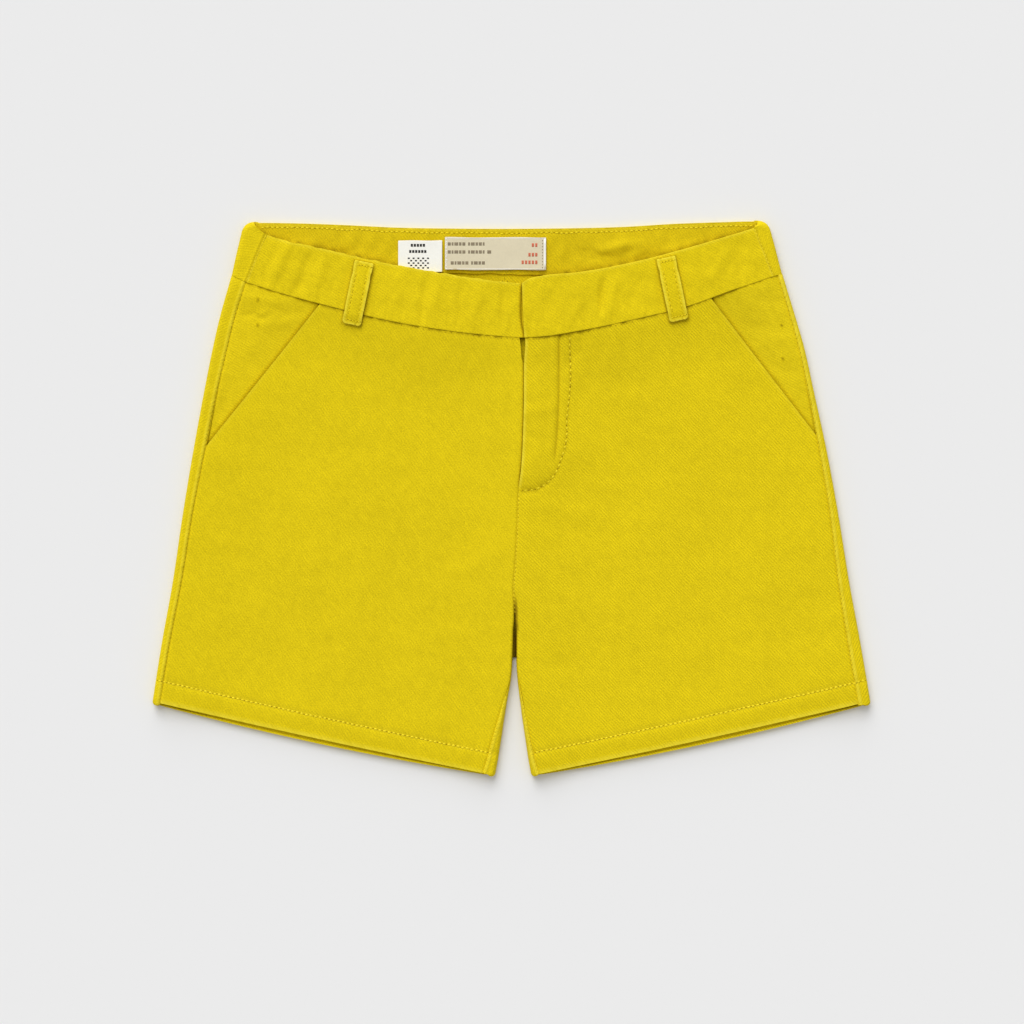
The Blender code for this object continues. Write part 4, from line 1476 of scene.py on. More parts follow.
@dataclass
class Sheet:
    """Cloth while it is laid out: rows of points half a layer inside the outer face."""

    name: str
    points: list = field(default_factory=list)
    depths: list = field(default_factory=list)
    cuts: list = field(default_factory=list)
    quads: list = field(default_factory=list)

    def row(self, points: np.ndarray, depth: float, cut: Optional[np.ndarray] = None) -> np.ndarray:
        """Add one row of points.

        Args:
            points: the points.
            depth: how much cloth lies behind them.
            cut: where they lie on the flat pattern, if not straight below.

        Returns:
            The points' numbers.
        """
        start = len(self.points)
        self.points.extend(points)
        self.depths.extend([depth] * len(points))
        self.cuts.extend(points[:, :2] if cut is None else cut)
        return np.arange(start, len(self.points))

    def join(self, upper: np.ndarray, lower: np.ndarray) -> None:
        """Fill between two rows of the same length."""
        quads = np.stack([upper[:-1], lower[:-1], lower[1:], upper[1:]], axis=1)
        self.quads.extend(quads.tolist())

    def grid(self, grid: np.ndarray, depths: Sequence[float], cuts: Optional[Sequence] = None) -> None:
        """Add a whole grid of points, row by row."""
        before = None
        for i, (points, depth) in enumerate(zip(grid, depths)):
            row = self.row(np.asarray(points), depth, None if cuts is None else cuts[i])
            if before is not None:
                self.join(before, row)
            before = row

    def normals(self, points: np.ndarray, quads: np.ndarray) -> np.ndarray:
        """The unit normal at every point."""
        a, b, c, d = (points[quads[:, i]] for i in range(4))
        facing = np.cross(c - a, d - b)
        total = np.zeros_like(points)
        for i in range(4):
            np.add.at(total, quads[:, i], facing)
        return total / np.maximum(np.linalg.norm(total, axis=1, keepdims=True), 1e-12)

    def make(
        self, finish: Union[Twill, Plain], edge: float = 0.3, wear: Optional[Callable] = None
    ) -> bpy.types.Object:
        """Close the sheet into a wall with rounded edges. It faces up at the last point.

        Args:
            finish: the cloth.
            edge: how far its cut and folded edges are rounded.
            wear: gives how much paler the cloth is made at its points by rubbing and painted highlight,
                below zero for seam lines, specks and painted shade.

        Returns:
            The finished piece.
        """
        points, quads = np.array(self.points), np.array(self.quads)
        away = self.normals(points, quads)
        if away[-1][2] < 0:
            quads, away = quads[:, ::-1], -away
        count = len(points)
        outer = points + away * HALF
        inner = points - away * np.array(self.depths)[:, None]
        outer[:, 2], inner[:, 2] = np.maximum(outer[:, 2], 0), np.maximum(inner[:, 2], 0)
        sides = np.concatenate([quads[:, [i, (i + 1) % 4]] for i in range(4)])
        known = {(int(a), int(b)) for a, b in sides}
        rims = [(a, b) for a, b in known if (b, a) not in known]
        faces = quads.tolist() + (quads[:, ::-1] + count).tolist()
        faces += [[b, a, a + count, b + count] for a, b in sorted(rims)]
        piece = new_piece(self.name, np.concatenate([outer, inner]), faces, finish)
        self.measure(points, quads)
        self.mark(piece.data, np.zeros(count) if wear is None else wear(points))
        self.round_edges(piece, edge)
        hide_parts(self.name)
        log.info("%s: %d faces", self.name, len(piece.data.polygons))
        return piece

    def mark(self, data: bpy.types.Mesh, wear: np.ndarray) -> None:
        """Write the flat pattern as the piece's UV map, and its rubbing and painted light as an attribute.
        """
        cuts = np.tile(np.array(self.cuts) * MM, (2, 1))
        corners = np.zeros(len(data.loops), int)
        data.loops.foreach_get("vertex_index", corners)
        layer = data.uv_layers.new(name="cut")
        layer.uv.foreach_set("vector", cuts[corners].astype(np.float32).ravel())
        worn_and_painted_light = data.attributes.new("wear", "FLOAT", "POINT")
        worn_and_painted_light.data.foreach_set("value", np.tile(wear.astype(np.float32), 2))

    def round_edges(self, piece: bpy.types.Object, edge: float) -> None:
        """Round the rims of the wall."""
        select_only(piece)
        bevel = piece.modifiers.new("rims", "BEVEL")
        bevel.width = edge * MM
        bevel.segments = 2
        bevel.limit_method = "ANGLE"
        bevel.angle_limit = math.radians(50)
        bpy.ops.object.modifier_apply(modifier=bevel.name)

    def measure(self, points: np.ndarray, quads: np.ndarray) -> None:
        cuts = np.array(self.cuts)
        a, b, c, d = (points[quads[:, i]] for i in range(4))
        area = np.linalg.norm(np.cross(c - a, d - b), axis=1).sum() / 2
        width, length = cuts.max(0) - cuts.min(0)
        area = min(area, width * length)


class Ground:
    """The outer surface of a finished piece, to sew on."""

    def __init__(self, *pieces: bpy.types.Object) -> None:
        """Read the meshes of some pieces."""
        points, faces = [], []
        for piece in pieces:
            start = len(points)
            points.extend(vert.co / MM for vert in piece.data.vertices)
            faces.extend([i + start for i in face.vertices] for face in piece.data.polygons)
        self.tree = BVHTree.FromPolygons(points, faces)

    def under(self, x: float, y: float, from_below: bool = False) -> Optional[tuple]:
        """The surface's point and normal straight below a place, or straight above it.

        Args:
            x: the place across.
            y: the place up the shorts.
            from_below: look up from the surface that the shorts lie on.

        Returns:
            The point and the normal, or None where there is no cloth.
        """
        start = Vector((x, y, BELOW_ALL if from_below else ABOVE_ALL))
        way = Vector((0, 0, 1.0 if from_below else -1.0))
        point, normal, _, _ = self.tree.ray_cast(start, way)
        return None if point is None else (point, normal)


class Stitch(NamedTuple):
    """One stitch, or one dark oval of painted shade at a needle pit: its middle, its way along, the way out
    of the cloth, and its length.
    """

    middle: Vector
    along: Vector
    out: Vector
    length: float


def resample(path: np.ndarray, pitch: float) -> tuple[np.ndarray, np.ndarray]:
    """Places and directions at an even pitch along a path.

    Args:
        path: plan points.
        pitch: the distance between places.

    Returns:
        The places, and unit steps along the path there.
    """
    steps = np.linalg.norm(np.diff(path, axis=0), axis=1)
    run = np.concatenate([[0], np.cumsum(steps)])
    at = np.arange(pitch / 2, run[-1], pitch)
    places = np.stack([np.interp(at, run, path[:, i]) for i in range(2)], axis=1)
    ahead = np.stack([np.interp(at + 0.5, run, path[:, i]) for i in range(2)], axis=1)
    behind = np.stack([np.interp(at - 0.5, run, path[:, i]) for i in range(2)], axis=1)
    way = ahead - behind
    return places, way / np.linalg.norm(way, axis=1, keepdims=True)


@dataclass
class Needlework:
    """Rows of stitches, laid on the cloth as one mesh, with dark ovals of painted shade at the needle pits
    between them as another.
    """

    name: str
    pitch: float = 2.5
    thread: float = 0.62  # width of the sewing thread
    share: float = 0.58  # how much of the pitch the thread shows for
    lift: float = 0.06  # of its middle above the cloth
    thick: float = 0.5
    hole: tuple = (0.9, 0.55)  # length and width of a needle pit's painted shade
    wobble: float = 0.14
    seed: int = 1
    bare: bool = False  # only the painted shade of the needle pits shows
    threads: list = field(default_factory=list)
    holes: list = field(default_factory=list)

    def sew(self, path: np.ndarray, ground: Ground, from_below: bool = False) -> None:
        """Lay one row of stitches along a path in plan.

        Args:
            path: the path's points.
            ground: the cloth that it is sewn to.
            from_below: whether the row lies on the underside.
        """
        chance = np.random.default_rng(self.seed + len(self.threads))
        places, ways = resample(np.asarray(path, float), self.pitch)
        for place, way in zip(places, ways):
            off = chance.normal(0, self.wobble, 2)
            for kept, along, length in (
                (self.threads, 0.0, self.pitch * self.share * chance.uniform(0.85, 1.1)),
                (self.holes, self.pitch / 2, self.hole[0] * chance.uniform(0.7, 1.25)),
            ):
                x, y = place + way * along + off * 0.5
                found = ground.under(x, y, from_below)
                if found is None:
                    continue
                point, normal = found
                heading = Vector((way[0] + 0.1 * off[0], way[1] + 0.1 * off[1], 0))
                heading = (heading - normal * heading.dot(normal)).normalized()
                kept.append(Stitch(point.copy(), heading, normal.copy(), length))

    @staticmethod
    def model_stitch() -> tuple[np.ndarray, list]:
        """Model one small lozenge of thread, a millimetre long.

        Returns:
            Its points, and its faces in an order that is the same at every run.
        """
        bpy.ops.object.select_all(action="DESELECT")
        bpy.ops.mesh.primitive_uv_sphere_add(segments=8, ring_count=5, radius=0.5)
        model = bpy.context.object
        bpy.ops.object.mode_set(mode="EDIT")
        bpy.ops.transform.rotate(value=math.radians(90), orient_axis="Y", center_override=(0, 0, 0))
        bpy.ops.object.mode_set(mode="OBJECT")
        shape = np.array([vert.co[:] for vert in model.data.vertices])
        sides = []
        for face in model.data.polygons:
            corners = list(face.vertices)
            lowest = corners.index(min(corners))
            sides.append(corners[lowest:] + corners[:lowest])
        bpy.data.objects.remove(model)
        return shape, sorted(sides)

    def lay(self, name: str, stitches: Sequence[Stitch], size: tuple, lift: float, finish: Plain) -> None:
        """Copy the one lozenge of thread to every stitch and join them.

        Args:
            name: the piece's name.
            stitches: where they go.
            size: width and thickness of one stitch.
            lift: how far its middle stands above the cloth.
            finish: its finish.
        """
        if not stitches:
            return
        shape, sides = self.model_stitch()
        points, faces = [], []
        for stitch in stitches:
            across = stitch.out.cross(stitch.along)
            axes = np.array([stitch.along, across, stitch.out])
            sized = shape * (stitch.length, *size)
            start = len(points) * len(shape)
            points.append(sized @ axes + np.array(stitch.middle + stitch.out * lift))
            faces.extend([i + start for i in side] for side in sides)
        new_piece(name, np.concatenate(points), faces, finish)
        log.info("%s: %d", name, len(stitches))

    def finish(self) -> None:
        """Make the thread, unless the row is bare, and the dark ovals of painted shade at the needle pits.
        """
        if not self.bare:
            size = (self.thread, self.thick)
            self.lay(self.name + "_thread", self.threads, size, self.lift, Finishes.thread)
        size = (self.hole[1], HOLE_DEPTH)
        self.lay(self.name + "_holes", self.holes, size, HOLE_LIFT, Finishes.hole)


# ---------------------------------------------------------------- sub-assemblies


def fold_profile(end: float, inset: float, reach: float, count: int) -> tuple:
    """The way from a flat underside round a fold and on to a seam, in even steps.

    Args:
        end: how far inside the edge the seam lies.
        inset: how far inside the edge the cloth's middle lies.
        reach: half the width of the roll.
        count: how many points to give.

    Returns:
        How far inside the edge each point lies, and its share of the rise.
    """
    turns = np.linspace(0, math.pi, 61)
    distance = inset + reach * (1 - np.sin(turns))
    rise = (1 - np.cos(turns)) / 2
    if end > distance[-1]:
        distance, rise = np.append(distance, end), np.append(rise, 1.0)
    run = np.cumsum(np.hypot(np.diff(distance, prepend=distance[0]), FOLD_RISE * np.diff(rise, prepend=0)))
    stop = float(np.interp(end, distance[30:], run[30:]))
    at = np.linspace(0, stop, count)
    return np.interp(at, run, distance), np.interp(at, run, rise)


def rolled_off(distance: np.ndarray, reach: np.ndarray) -> np.ndarray:
    """The share of its height that a layer still has at a distance inside a fold's edge."""
    short = np.clip(1 - (distance - HALF) / reach, 0, 1)
    return (1 + np.sqrt(1 - short**2)) / 2


def roll(
    fold: Fold,
    height: float,
    low: Height,
    high: Height,
    end_height: float,
    inset: float = HALF,
    reach: float = FOLD_REACH,
) -> tuple[np.ndarray, np.ndarray]:
    """Points from the underside, round a fold and on to the seam.

    Args:
        fold: the folded edge.
        height: where on the edge.
        low: height of the underside at a place.
        high: height of the front at a place.
        end_height: where on the edge the seam point belongs.
        inset: how far inside the edge the cloth's middle lies.
        reach: half the width of the roll.

    Returns:
        The points, and where they lie on the flat pattern.
    """
    edge, inward = fold.frame(height)
    end = float(fold.wrap(height)) - SEAM / 2
    distance, share = fold_profile(end, inset, reach, ROLL_STEPS)
    lag = fold.seam_point(end_height) - fold.seam_point(height)
    plan = edge + np.outer(distance, inward) + np.outer(share * distance / end, lag)
    x, y = plan[:, 0], plan[:, 1]
    points = stand(plan, low(x, y) + share * (high(x, y) - low(x, y)))
    run = np.concatenate([[0], np.cumsum(np.linalg.norm(np.diff(points, axis=0), axis=1))])
    return points, plan[0] - np.outer(run, inward)


def hem_offsets() -> list[float]:
    """Heights above a hem's edge of its rows, from the stitching down."""
    return [HEM_DEPTH + 0.8, *np.linspace(HEM_DEPTH, 1.3, 8), 0.8, 0.35, 0.1, 0.0]


def hem_depths(lip: float = 0.0) -> list[float]:
    """The cloth behind each of those rows, with its lower edge thicker by a lip."""
    return [HALF] + [HEM_LAYERS - HALF] * 8 + [HEM_LAYERS - HALF + lip] * 4


@dataclass
class Leg:
    """One leg and hip: its front, its back, the pocket's facing and the hem's stitching."""

    side: Side
    columns: int = 170
    refinement: int = 7
    hem_pitch: float = 2.35
    front: Optional[bpy.types.Object] = None
    back: Optional[bpy.types.Object] = None
    facing: Optional[bpy.types.Object] = None

    @property
    def cloth(self) -> Twill:
        """This leg's twill."""
        return Finishes.right_leg if self.side is Side.RIGHT else Finishes.left_leg

    def build(self) -> None:
        """Make and sew the leg."""
        self.make_back()
        self.make_front()
        self.make_facing()
        self.sew_hem()
        self.sew_side()

    def front_edges(self) -> tuple[np.ndarray, np.ndarray]:
        """The front's edge at the side and pocket, and its edge at the middle.

        Returns:
            Both edges, as plan points from top to bottom.
        """
        side, fold, inner_fold = self.side, Plan.side_fold[self.side], Plan.inner_fold[self.side]
        mouth_top, mouth_foot = Plan.pocket_mouth(side)
        corner = POCKET_CORNERS[side]
        stitching = HEM_SIDE + FRONT_SHORT + HEM_DEPTH + 0.6

        def down_side(place: float) -> float:
            """The height on the fold of a place past the pocket."""
            return corner + (stitching - corner) * (place - 1)

        def on_leg(side_height: float, inner_height: float) -> tuple[np.ndarray, np.ndarray]:
            """The ends of a row across the leg."""
            return fold.seam_point(side_height, SEAM / 2), inner_fold.seam_point(inner_height, SEAM / 2)

        rows = []
        for station in refine(FRONT_STATIONS, self.refinement):
            if station.side <= 1:
                outer = mouth_top + (mouth_foot - mouth_top) * station.side
            else:
                outer = fold.seam_point(down_side(station.side), SEAM / 2)
            lap = station.lap if side is Side.RIGHT else SEAM / 2
            rows.append((outer, (Plan.inner_edge(side, station.inner, lap), station.inner)))
        lowest = down_side(FRONT_STATIONS[-1].side) - 1.5
        rows += [on_leg(min(row.side, lowest), row.inner) for row in refine(FRONT_LEG_ROWS, self.refinement)]
        hem = [
            on_leg(HEM_SIDE + FRONT_SHORT + offset, HEM_INSIDE + FRONT_SHORT / 2 + offset)
            for offset in hem_offsets()
        ]
        last, first = np.array(rows[-1]), np.array(hem[0])
        rows += [last + (first - last) * share for share in np.linspace(0, 1, self.refinement + 1)[1:-1]]
        ends = np.array(rows + hem)
        return ends[:, 0], ends[:, 1]

    def make_front(self) -> None:
        """The front panel, cut away along the pocket mouth, with its hem."""
        outer, inner = self.front_edges()
        shares = spread(self.columns, 0.75)
        top_x = outer[0][0] + (inner[0][0] - outer[0][0]) * shares
        top = traced(Plan.waist[self.side], top_x, -SEAM / 2)
        outer[0], inner[0] = top[0], top[-1]
        hem = bowed(outer[-1], inner[-1], shares, FRONT_BOW)
        plan = coons(top, hem, outer, inner)
        grid = stand(plan, Plan.front_top(self.side, plan[..., 0], plan[..., 1]))
        sheet = Sheet("front_" + self.side.word)
        sheet.grid(grid, [HALF] * (len(grid) - len(hem_depths())) + hem_depths())
        self.front = sheet.make(self.cloth, 0.4, lambda at: Plan.front_wear(self.side, at))

    def make_facing(self) -> None:
        """The hip piece inside the pocket, under the front at the mouth."""
        side, fold = self.side, Plan.side_fold[self.side]
        mouth_top, mouth_foot = Plan.pocket_mouth(side)
        along = (mouth_foot - mouth_top) / np.linalg.norm(mouth_foot - mouth_top)
        under = np.array([-side.value * abs(along[1]), -abs(along[0])])
        top_height = fold.meeting(Plan.waist[side], -SEAM / 2)
        heights = np.linspace(top_height, POCKET_CORNERS[side] - 8.0, 80)
        outer = np.array([fold.seam_point(height, SEAM / 2) for height in heights])
        inner_x = mouth_top[0] - side.value * POCKET_LAP
        inner_top = np.array([inner_x, float(Plan.waist[side](inner_x)) - SEAM / 2])
        inner_foot = mouth_foot + under * POCKET_LAP
        inner = inner_top + np.outer(np.linspace(0, 1, 80), inner_foot - inner_top)
        top_x = np.linspace(outer[0][0], inner_x, 70)
        top = traced(Plan.waist[side], top_x, -SEAM / 2)
        outer[0] = top[0]
        foot = outer[-1] + np.outer(np.linspace(0, 1, 70), inner[-1] - outer[-1])
        plan = coons(top, foot, outer, inner)
        past_mouth = (plan - mouth_top) @ -under
        sunk = (LAYER + GAP * 1.4) * (1 - ease((past_mouth + 0.4) / 18.0))
        sunk = sunk + 0.5 * (1 - ease((past_mouth - 0.2) / 1.8))
        sheet = Sheet("pocket_facing_" + side.word)
        high = Plan.front_top(side, plan[..., 0], plan[..., 1])
        sheet.grid(stand(plan, high - sunk), [HALF] * len(plan))
        # The right facing takes the lighter copy of the twill as painted light.
        finish = Finishes.paler_hip if self.side is Side.RIGHT else Finishes.hip
        self.facing = sheet.make(finish, 0.35, lambda at: Plan.facing_wear(self.side, at))

    def leg_roll(self, fold: Fold, height: float, lift: float = 0.0, offset: float = 9.0) -> tuple:
        """One row of a back round a fold.

        Args:
            fold: the side's fold or the leg's inner one.
            height: where on it.
            lift: how much higher the row ends on the front.
            offset: the height above the hem, for its rounded corner.

        Returns:
            The points, and where they lie on the flat pattern.
        """

        def high(x: np.ndarray, y: np.ndarray) -> np.ndarray:
            """The height of the front that the row ends level with."""
            return Plan.front_top(self.side, x, y)

        inset = HALF + float(rounded(offset, HEM_CORNER))
        return roll(fold, height, Plan.under_side, high, height + lift, inset)

    def back_rows(self) -> list[tuple]:
        """The ends of a back's rows: at the middle or the leg's inside, and at the side.

        Returns:
            Both ends of each row, as points and places on the flat pattern.
        """
        side, fold, inner_fold = self.side, Plan.side_fold[self.side], Plan.inner_fold[self.side]
        waist_edge = WAIST_EDGE[side] - SEAM
        lift = fold.meeting(Plan.waist[side], -SEAM / 2) - waist_edge
        rows = []
        for row in refine(BACK_ROWS, 5):
            centre = [float(Plan.back_seam(row.inner)) + side.value * SEAM / 2, row.inner]
            middle = (stand(np.array([centre]), Plan.under_side(*np.array([centre]).T)), [centre])
            at_side = self.leg_roll(fold, row.side) if rows else self.leg_roll(fold, waist_edge, lift)
            rows.append((middle, at_side))
        stitching = Row(HEM_INSIDE + hem_offsets()[0], HEM_SIDE + hem_offsets()[0])
        legs = [(*row, 0.0, 9.0) for row in refine((*BACK_LEG_ROWS, stitching), 5)[:-1]]
        for offset in hem_offsets():
            legs.append((HEM_INSIDE + offset, HEM_SIDE + offset, FRONT_SHORT / 2, offset))
        for inner_height, side_height, lift, offset in legs:
            points, cut = self.leg_roll(inner_fold, inner_height, lift, offset)
            rows.append(((points[::-1], cut[::-1]), self.leg_roll(fold, side_height, lift, offset)))
        return rows

    def make_back(self) -> None:
        """The back panel, flat below and rolling round the side and the leg's inside."""
        rows, shares = self.back_rows(), np.linspace(0, 1, 60)
        first = np.array([row[0][0][-1][:2] for row in rows])
        last = np.array([row[1][0][0][:2] for row in rows])
        top_x = first[0][0] + (last[0][0] - first[0][0]) * shares
        top = traced(Plan.back_waist, top_x, -SEAM / 2)
        top[-1] = last[0]
        first[0] = top[0]
        rows[0][0][0][0, :2] = top[0]
        plan = coons(top, bowed(first[-1], last[-1], shares, BACK_BOW), first, last)
        sheet, before = Sheet("back_" + self.side.word), None
        depths = [HALF] * (len(rows) - len(hem_depths())) + hem_depths(HEM_LIP)
        for (inner, outer), flat, depth in zip(rows, plan, depths):
            middle = stand(flat, Plan.under_side(flat[:, 0], flat[:, 1]))[1:-1]
            points = np.concatenate([inner[0], middle, outer[0]])
            cut = np.concatenate([inner[1], flat[1:-1], outer[1]])
            row = sheet.row(points, depth, cut)
            if before is not None:
                shared = min(len(before), len(row))
                sheet.join(before[-shared:], row[-shared:])
            before = row
        self.back = sheet.make(self.cloth, 0.4, lambda at: Plan.back_wear(self.side, at))

    def hem_path(self, short: float, bow: float, start: float, end: float) -> np.ndarray:
        """The stitching's line above a hem.

        Args:
            short: how much shorter than the back this hem is at the side.
            bow: how far it bows.
            start: where it starts across.
            end: where it ends across.

        Returns:
            Its plan points.
        """
        x = np.linspace(start, end, 60)
        share = hem_share(x)
        return np.column_stack([x, Plan.hem(x) + short * (1 + share) / 2 - arc(share, bow) + HEM_DEPTH])

    def sew_hem(self) -> None:
        """The row of stitches round the turned-up hem."""
        sign = self.side.value
        row = Needlework("hem_stitching_" + self.side.word, self.hem_pitch, 1.0, seed=60 + sign)
        around = Ground(self.front, self.back)
        row.sew(self.hem_path(FRONT_SHORT, FRONT_BOW, sign * 9.5, sign * 178.0), around)
        row.finish()
        name = "back_hem_stitching_" + self.side.word
        under = Needlework(name, self.hem_pitch, 0.6, lift=-0.04, thick=0.3)
        under.sew(self.hem_path(0.0, BACK_BOW, sign * 13.0, sign * 174.0), around, from_below=True)
        under.finish()

    def sew_side(self) -> None:
        """The painted shade of the needle pits that show in the side seam."""
        fold = Plan.side_fold[self.side]
        top = fold.meeting(Plan.waist[self.side], -2.0)
        heights = np.linspace(top, HEM_SIDE + HEM_DEPTH + 3.0, 90)
        path = np.array([fold.seam_point(height, -0.1) for height in heights])
        hole = (1.3, 0.5) if self.side is Side.RIGHT else (1.0, 0.35)
        row = Needlework("side_seam_" + self.side.word, 2.4, hole=hole, seed=70, bare=True)
        cloth = Ground(self.front, self.facing, self.back)
        row.sew(path, cloth)
        x = np.linspace(*{Side.RIGHT: (-66.0, 2.0), Side.LEFT: (8.0, 60.0)}[self.side], 60)
        row.pitch, row.hole = 2.8, (0.8, 0.35)
        row.sew(traced(Plan.waist[self.side], x, -0.8), cloth)
        row.finish()
        fold = Plan.inner_fold[self.side]
        heights = np.linspace(-99.0, HEM_INSIDE + 1.0, 60)
        path = np.array([fold.seam_point(height, -0.35) for height in heights])
        name = "inside_seam_" + self.side.word
        row = Needlework(name, 2.1, 0.5, 0.9, thick=0.3, hole=(0.5, 0.3), wobble=0.06, seed=75)
        row.sew(path, cloth)
        row.finish()


@dataclass
class Waistband:
    """The four pieces of the waistband and its stitching."""

    rows: tuple = (0.0, 0.8, 1.6, 3.2, 6.6, 10.0, 13.2, 16.4, 18.6, 20.2)  # above the foot
    top_rows: tuple = (4.6, 3.5, 2.6, 1.9, 1.35, 0.9)  # below the top
    lip_rows: tuple = (LIP_DEPTH - 0.05, 0.3, 0.17, 0.07, 0.02, 0.0)
    stitched: float = 2.2  # the stitching's distance below the top
    fronts: dict = field(default_factory=dict)

    def build(self) -> None:
        """Make and sew the band."""
        for side in Side:
            self.make_front(side)
        self.make_back()
        self.make_facing()
        self.sew_top()
        self.sew_sides()

    def make_front(self, side: Side) -> None:
        """One half of the front band, from the side seam to the fly."""
        fold = Plan.band_fold[side]
        shares = spread(26, 0.5)
        foot_end = fold.meeting(Plan.waist[side], SEAM / 2)
        top_end = fold.meeting(Plan.band_top[side], 0.0)
        heights = foot_end + (top_end - foot_end) * shares
        first = np.array([fold.seam_point(height, SEAM / 2) for height in heights])
        reach = UNDERLAP if side is Side.RIGHT else 0.0
        places = spread(240, 0.5)
        top_x = first[-1][0] + (float(Plan.fly(108.0)) + reach - first[-1][0]) * places
        foot_x = first[0][0] + (float(Plan.fly(82.0)) + reach - first[0][0]) * places
        uneven = 0.22 * wander(top_x, 9.0, 71) * ease((top_x - top_x[0]) / 6.0)
        top = np.column_stack([top_x, Plan.band_top[side](top_x) + uneven])
        foot = traced(Plan.waist[side], foot_x, SEAM / 2)
        first[0], first[-1] = foot[0], top[0]
        last = foot[-1] + np.outer(shares, top[-1] - foot[-1])
        plan = coons(foot, top, first, last)
        sheet = Sheet("waistband_front_" + side.word)
        high = Plan.band_height(side, plan[..., 0], plan[..., 1])
        sheet.grid(stand(plan, high), [BAND_LAYERS - HALF] * len(plan))
        self.fronts[side] = sheet.make(Finishes.band, 0.5, lambda at: Plan.band_wear(side, at))

    def ring(
        self, places: Sequence[float], low: Height, high: Height, off: float, hang: float, below: float
    ) -> tuple[np.ndarray, np.ndarray]:
        """Rows of points round the back band, from one side seam to the other.

        Args:
            places: the rows, as shares of the band's height.
            low: height of the flat part at a place.
            high: height of the part that wraps to the front.
            off: how far inside the outer layer this one lies.
            hang: how far the foot reaches past the seam behind.
            below: how far the top lies below the band's top.

        Returns:
            The points, and where they lie on the flat pattern.
        """
        rows = []
        for share in places:
            ends = {}
            for side, fold in Plan.band_fold.items():
                foot, top = WAIST_EDGE[side], TOP_EDGE[side] - below
                foot_end = fold.meeting(Plan.waist[side], SEAM / 2)
                top_end = fold.meeting(Plan.band_top[side], -below)
                height = foot + (top - foot) * share
                corner = float(rounded(TOP_EDGE[side] - height - off, BAND_CORNER - off))
                end = foot_end + (top_end - foot_end) * share
                inset = HALF + off + corner
                ends[side] = roll(fold, height, low, high, end, inset, BAND_REACH - off)
            rows.append(ends)
        self.level(rows, places, below)
        shares = np.linspace(0, 1, 220)
        first = np.array([row[Side.RIGHT][0][0][:2] for row in rows])
        last = np.array([row[Side.LEFT][0][0][:2] for row in rows])
        foot_x = first[0][0] + (last[0][0] - first[0][0]) * shares
        top_x = first[-1][0] + (last[-1][0] - first[-1][0]) * shares
        hung = hang * (ease(40 * shares * (1 - shares)) + 0.14 * wander(foot_x, 14.0, 5))
        foot = np.column_stack([foot_x, Plan.back_waist(foot_x) + SEAM / 2 - hung])
        top = traced(Plan.back_top, top_x, -below)
        foot[0], foot[-1], top[0], top[-1] = first[0], last[0], first[-1], last[-1]
        plan = coons(foot, top, first, last, np.array(places))
        grid, cuts = [], []
        for ends, flat in zip(rows, plan):
            middle = stand(flat, low(flat[:, 0], flat[:, 1]))[1:-1]
            right, left = ends[Side.RIGHT], ends[Side.LEFT]
            grid.append(np.concatenate([right[0][::-1], middle, left[0]]))
            cuts.append(np.concatenate([right[1][::-1], flat[1:-1], left[1]]))
        return np.array(grid), np.array(cuts)

    @staticmethod
    def level(rows: list, places: Sequence[float], below: float) -> None:
        """Bring the start of every rolled row level with the flat part behind.

        Args:
            rows: the rolled ends of each row, by side.
            places: the rows, as shares of the band's height.
            below: how far the top lies below the band's top.
        """
        for side in Side:
            foot = rows[0][side][0][0][1]
            for share, ends in zip(places, rows):
                points = ends[side][0]
                wanted = foot + (Plan.back_top(points[0][0]) - below - foot) * share
                fade = ease(np.linspace(1, 0, len(points)))
                points[:, 1] += (wanted - points[0][1]) * fade

    def make_back(self) -> None:
        """The band's outside behind, rolled over at its top edge."""
        tops = (*self.top_rows, LIP_DEPTH + 0.05, *self.lip_rows)
        places = [row / BAND_HEIGHT for row in self.rows] + [1 - top / BAND_HEIGHT for top in tops]
        lip = len(self.lip_rows)
        depths = [HALF] * (len(places) - lip) + [BAND_LAYERS - HALF] * lip

        def low(x: np.ndarray, y: np.ndarray) -> np.ndarray:
            """The height behind, with its seam and rolled top."""
            seam = 0.2 * bell(y - Plan.back_waist(x), 1.0)
            top = 0.2 * bell(Plan.back_top(x) - 2.2 - y, 0.9)
            return BACK_LIE + seam + top * bell(x, 122.0)

        def high(x: np.ndarray, y: np.ndarray) -> np.ndarray:
            """The height in front, with the ridge at the side seam."""
            side = np.where(x < 0, -1, 1)
            seam = [Plan.band_fold[s].from_seam(x, y) for s in Side]
            inside = np.where(side < 0, seam[0], seam[1])
            ridge = 0.35 * bell(inside + 0.8, 0.6)
            return BAND_LIE + 0.15 + 0.08 * unevenness(x, y, 14.0, 8) + ridge

        grid, cuts = self.ring(places, low, high, 0.0, 0.0, 0.0)
        sheet = Sheet("waistband_back")
        sheet.grid(grid, depths, cuts)
        self.back = sheet.make(Finishes.band, 0.25, Plan.roll_wear_and_painted_light)

    def make_facing(self) -> None:
        """The band's inside behind, from under the rolled edge to just past the seam."""

        def low(x: np.ndarray, y: np.ndarray) -> np.ndarray:
            """The height behind, creased and gathered at the stitching."""
            relief = 3.8 * creased(FACING_CREASES, x, y) + 0.3 * unevenness(x, y, 8.0, 15)
            stitched = Plan.back_top(x) - self.stitched - y
            gathers = 0.25 * wander(x, 4.6, 44) * bell(stitched, 3.0) - 0.2 * bell(stitched, 0.8)
            seen = bell(y - 124.0, 10.0)
            at_top = -0.15 * bell(Plan.back_top(x) - y, 0.9)
            return FACING_LIE + at_top + seen * (0.2 + np.maximum(relief + gathers, -0.45))

        def high(x: np.ndarray, y: np.ndarray) -> np.ndarray:
            """The height in front, under the front band."""
            return np.full(np.shape(x), BAND_LIE - LAYER - GAP)

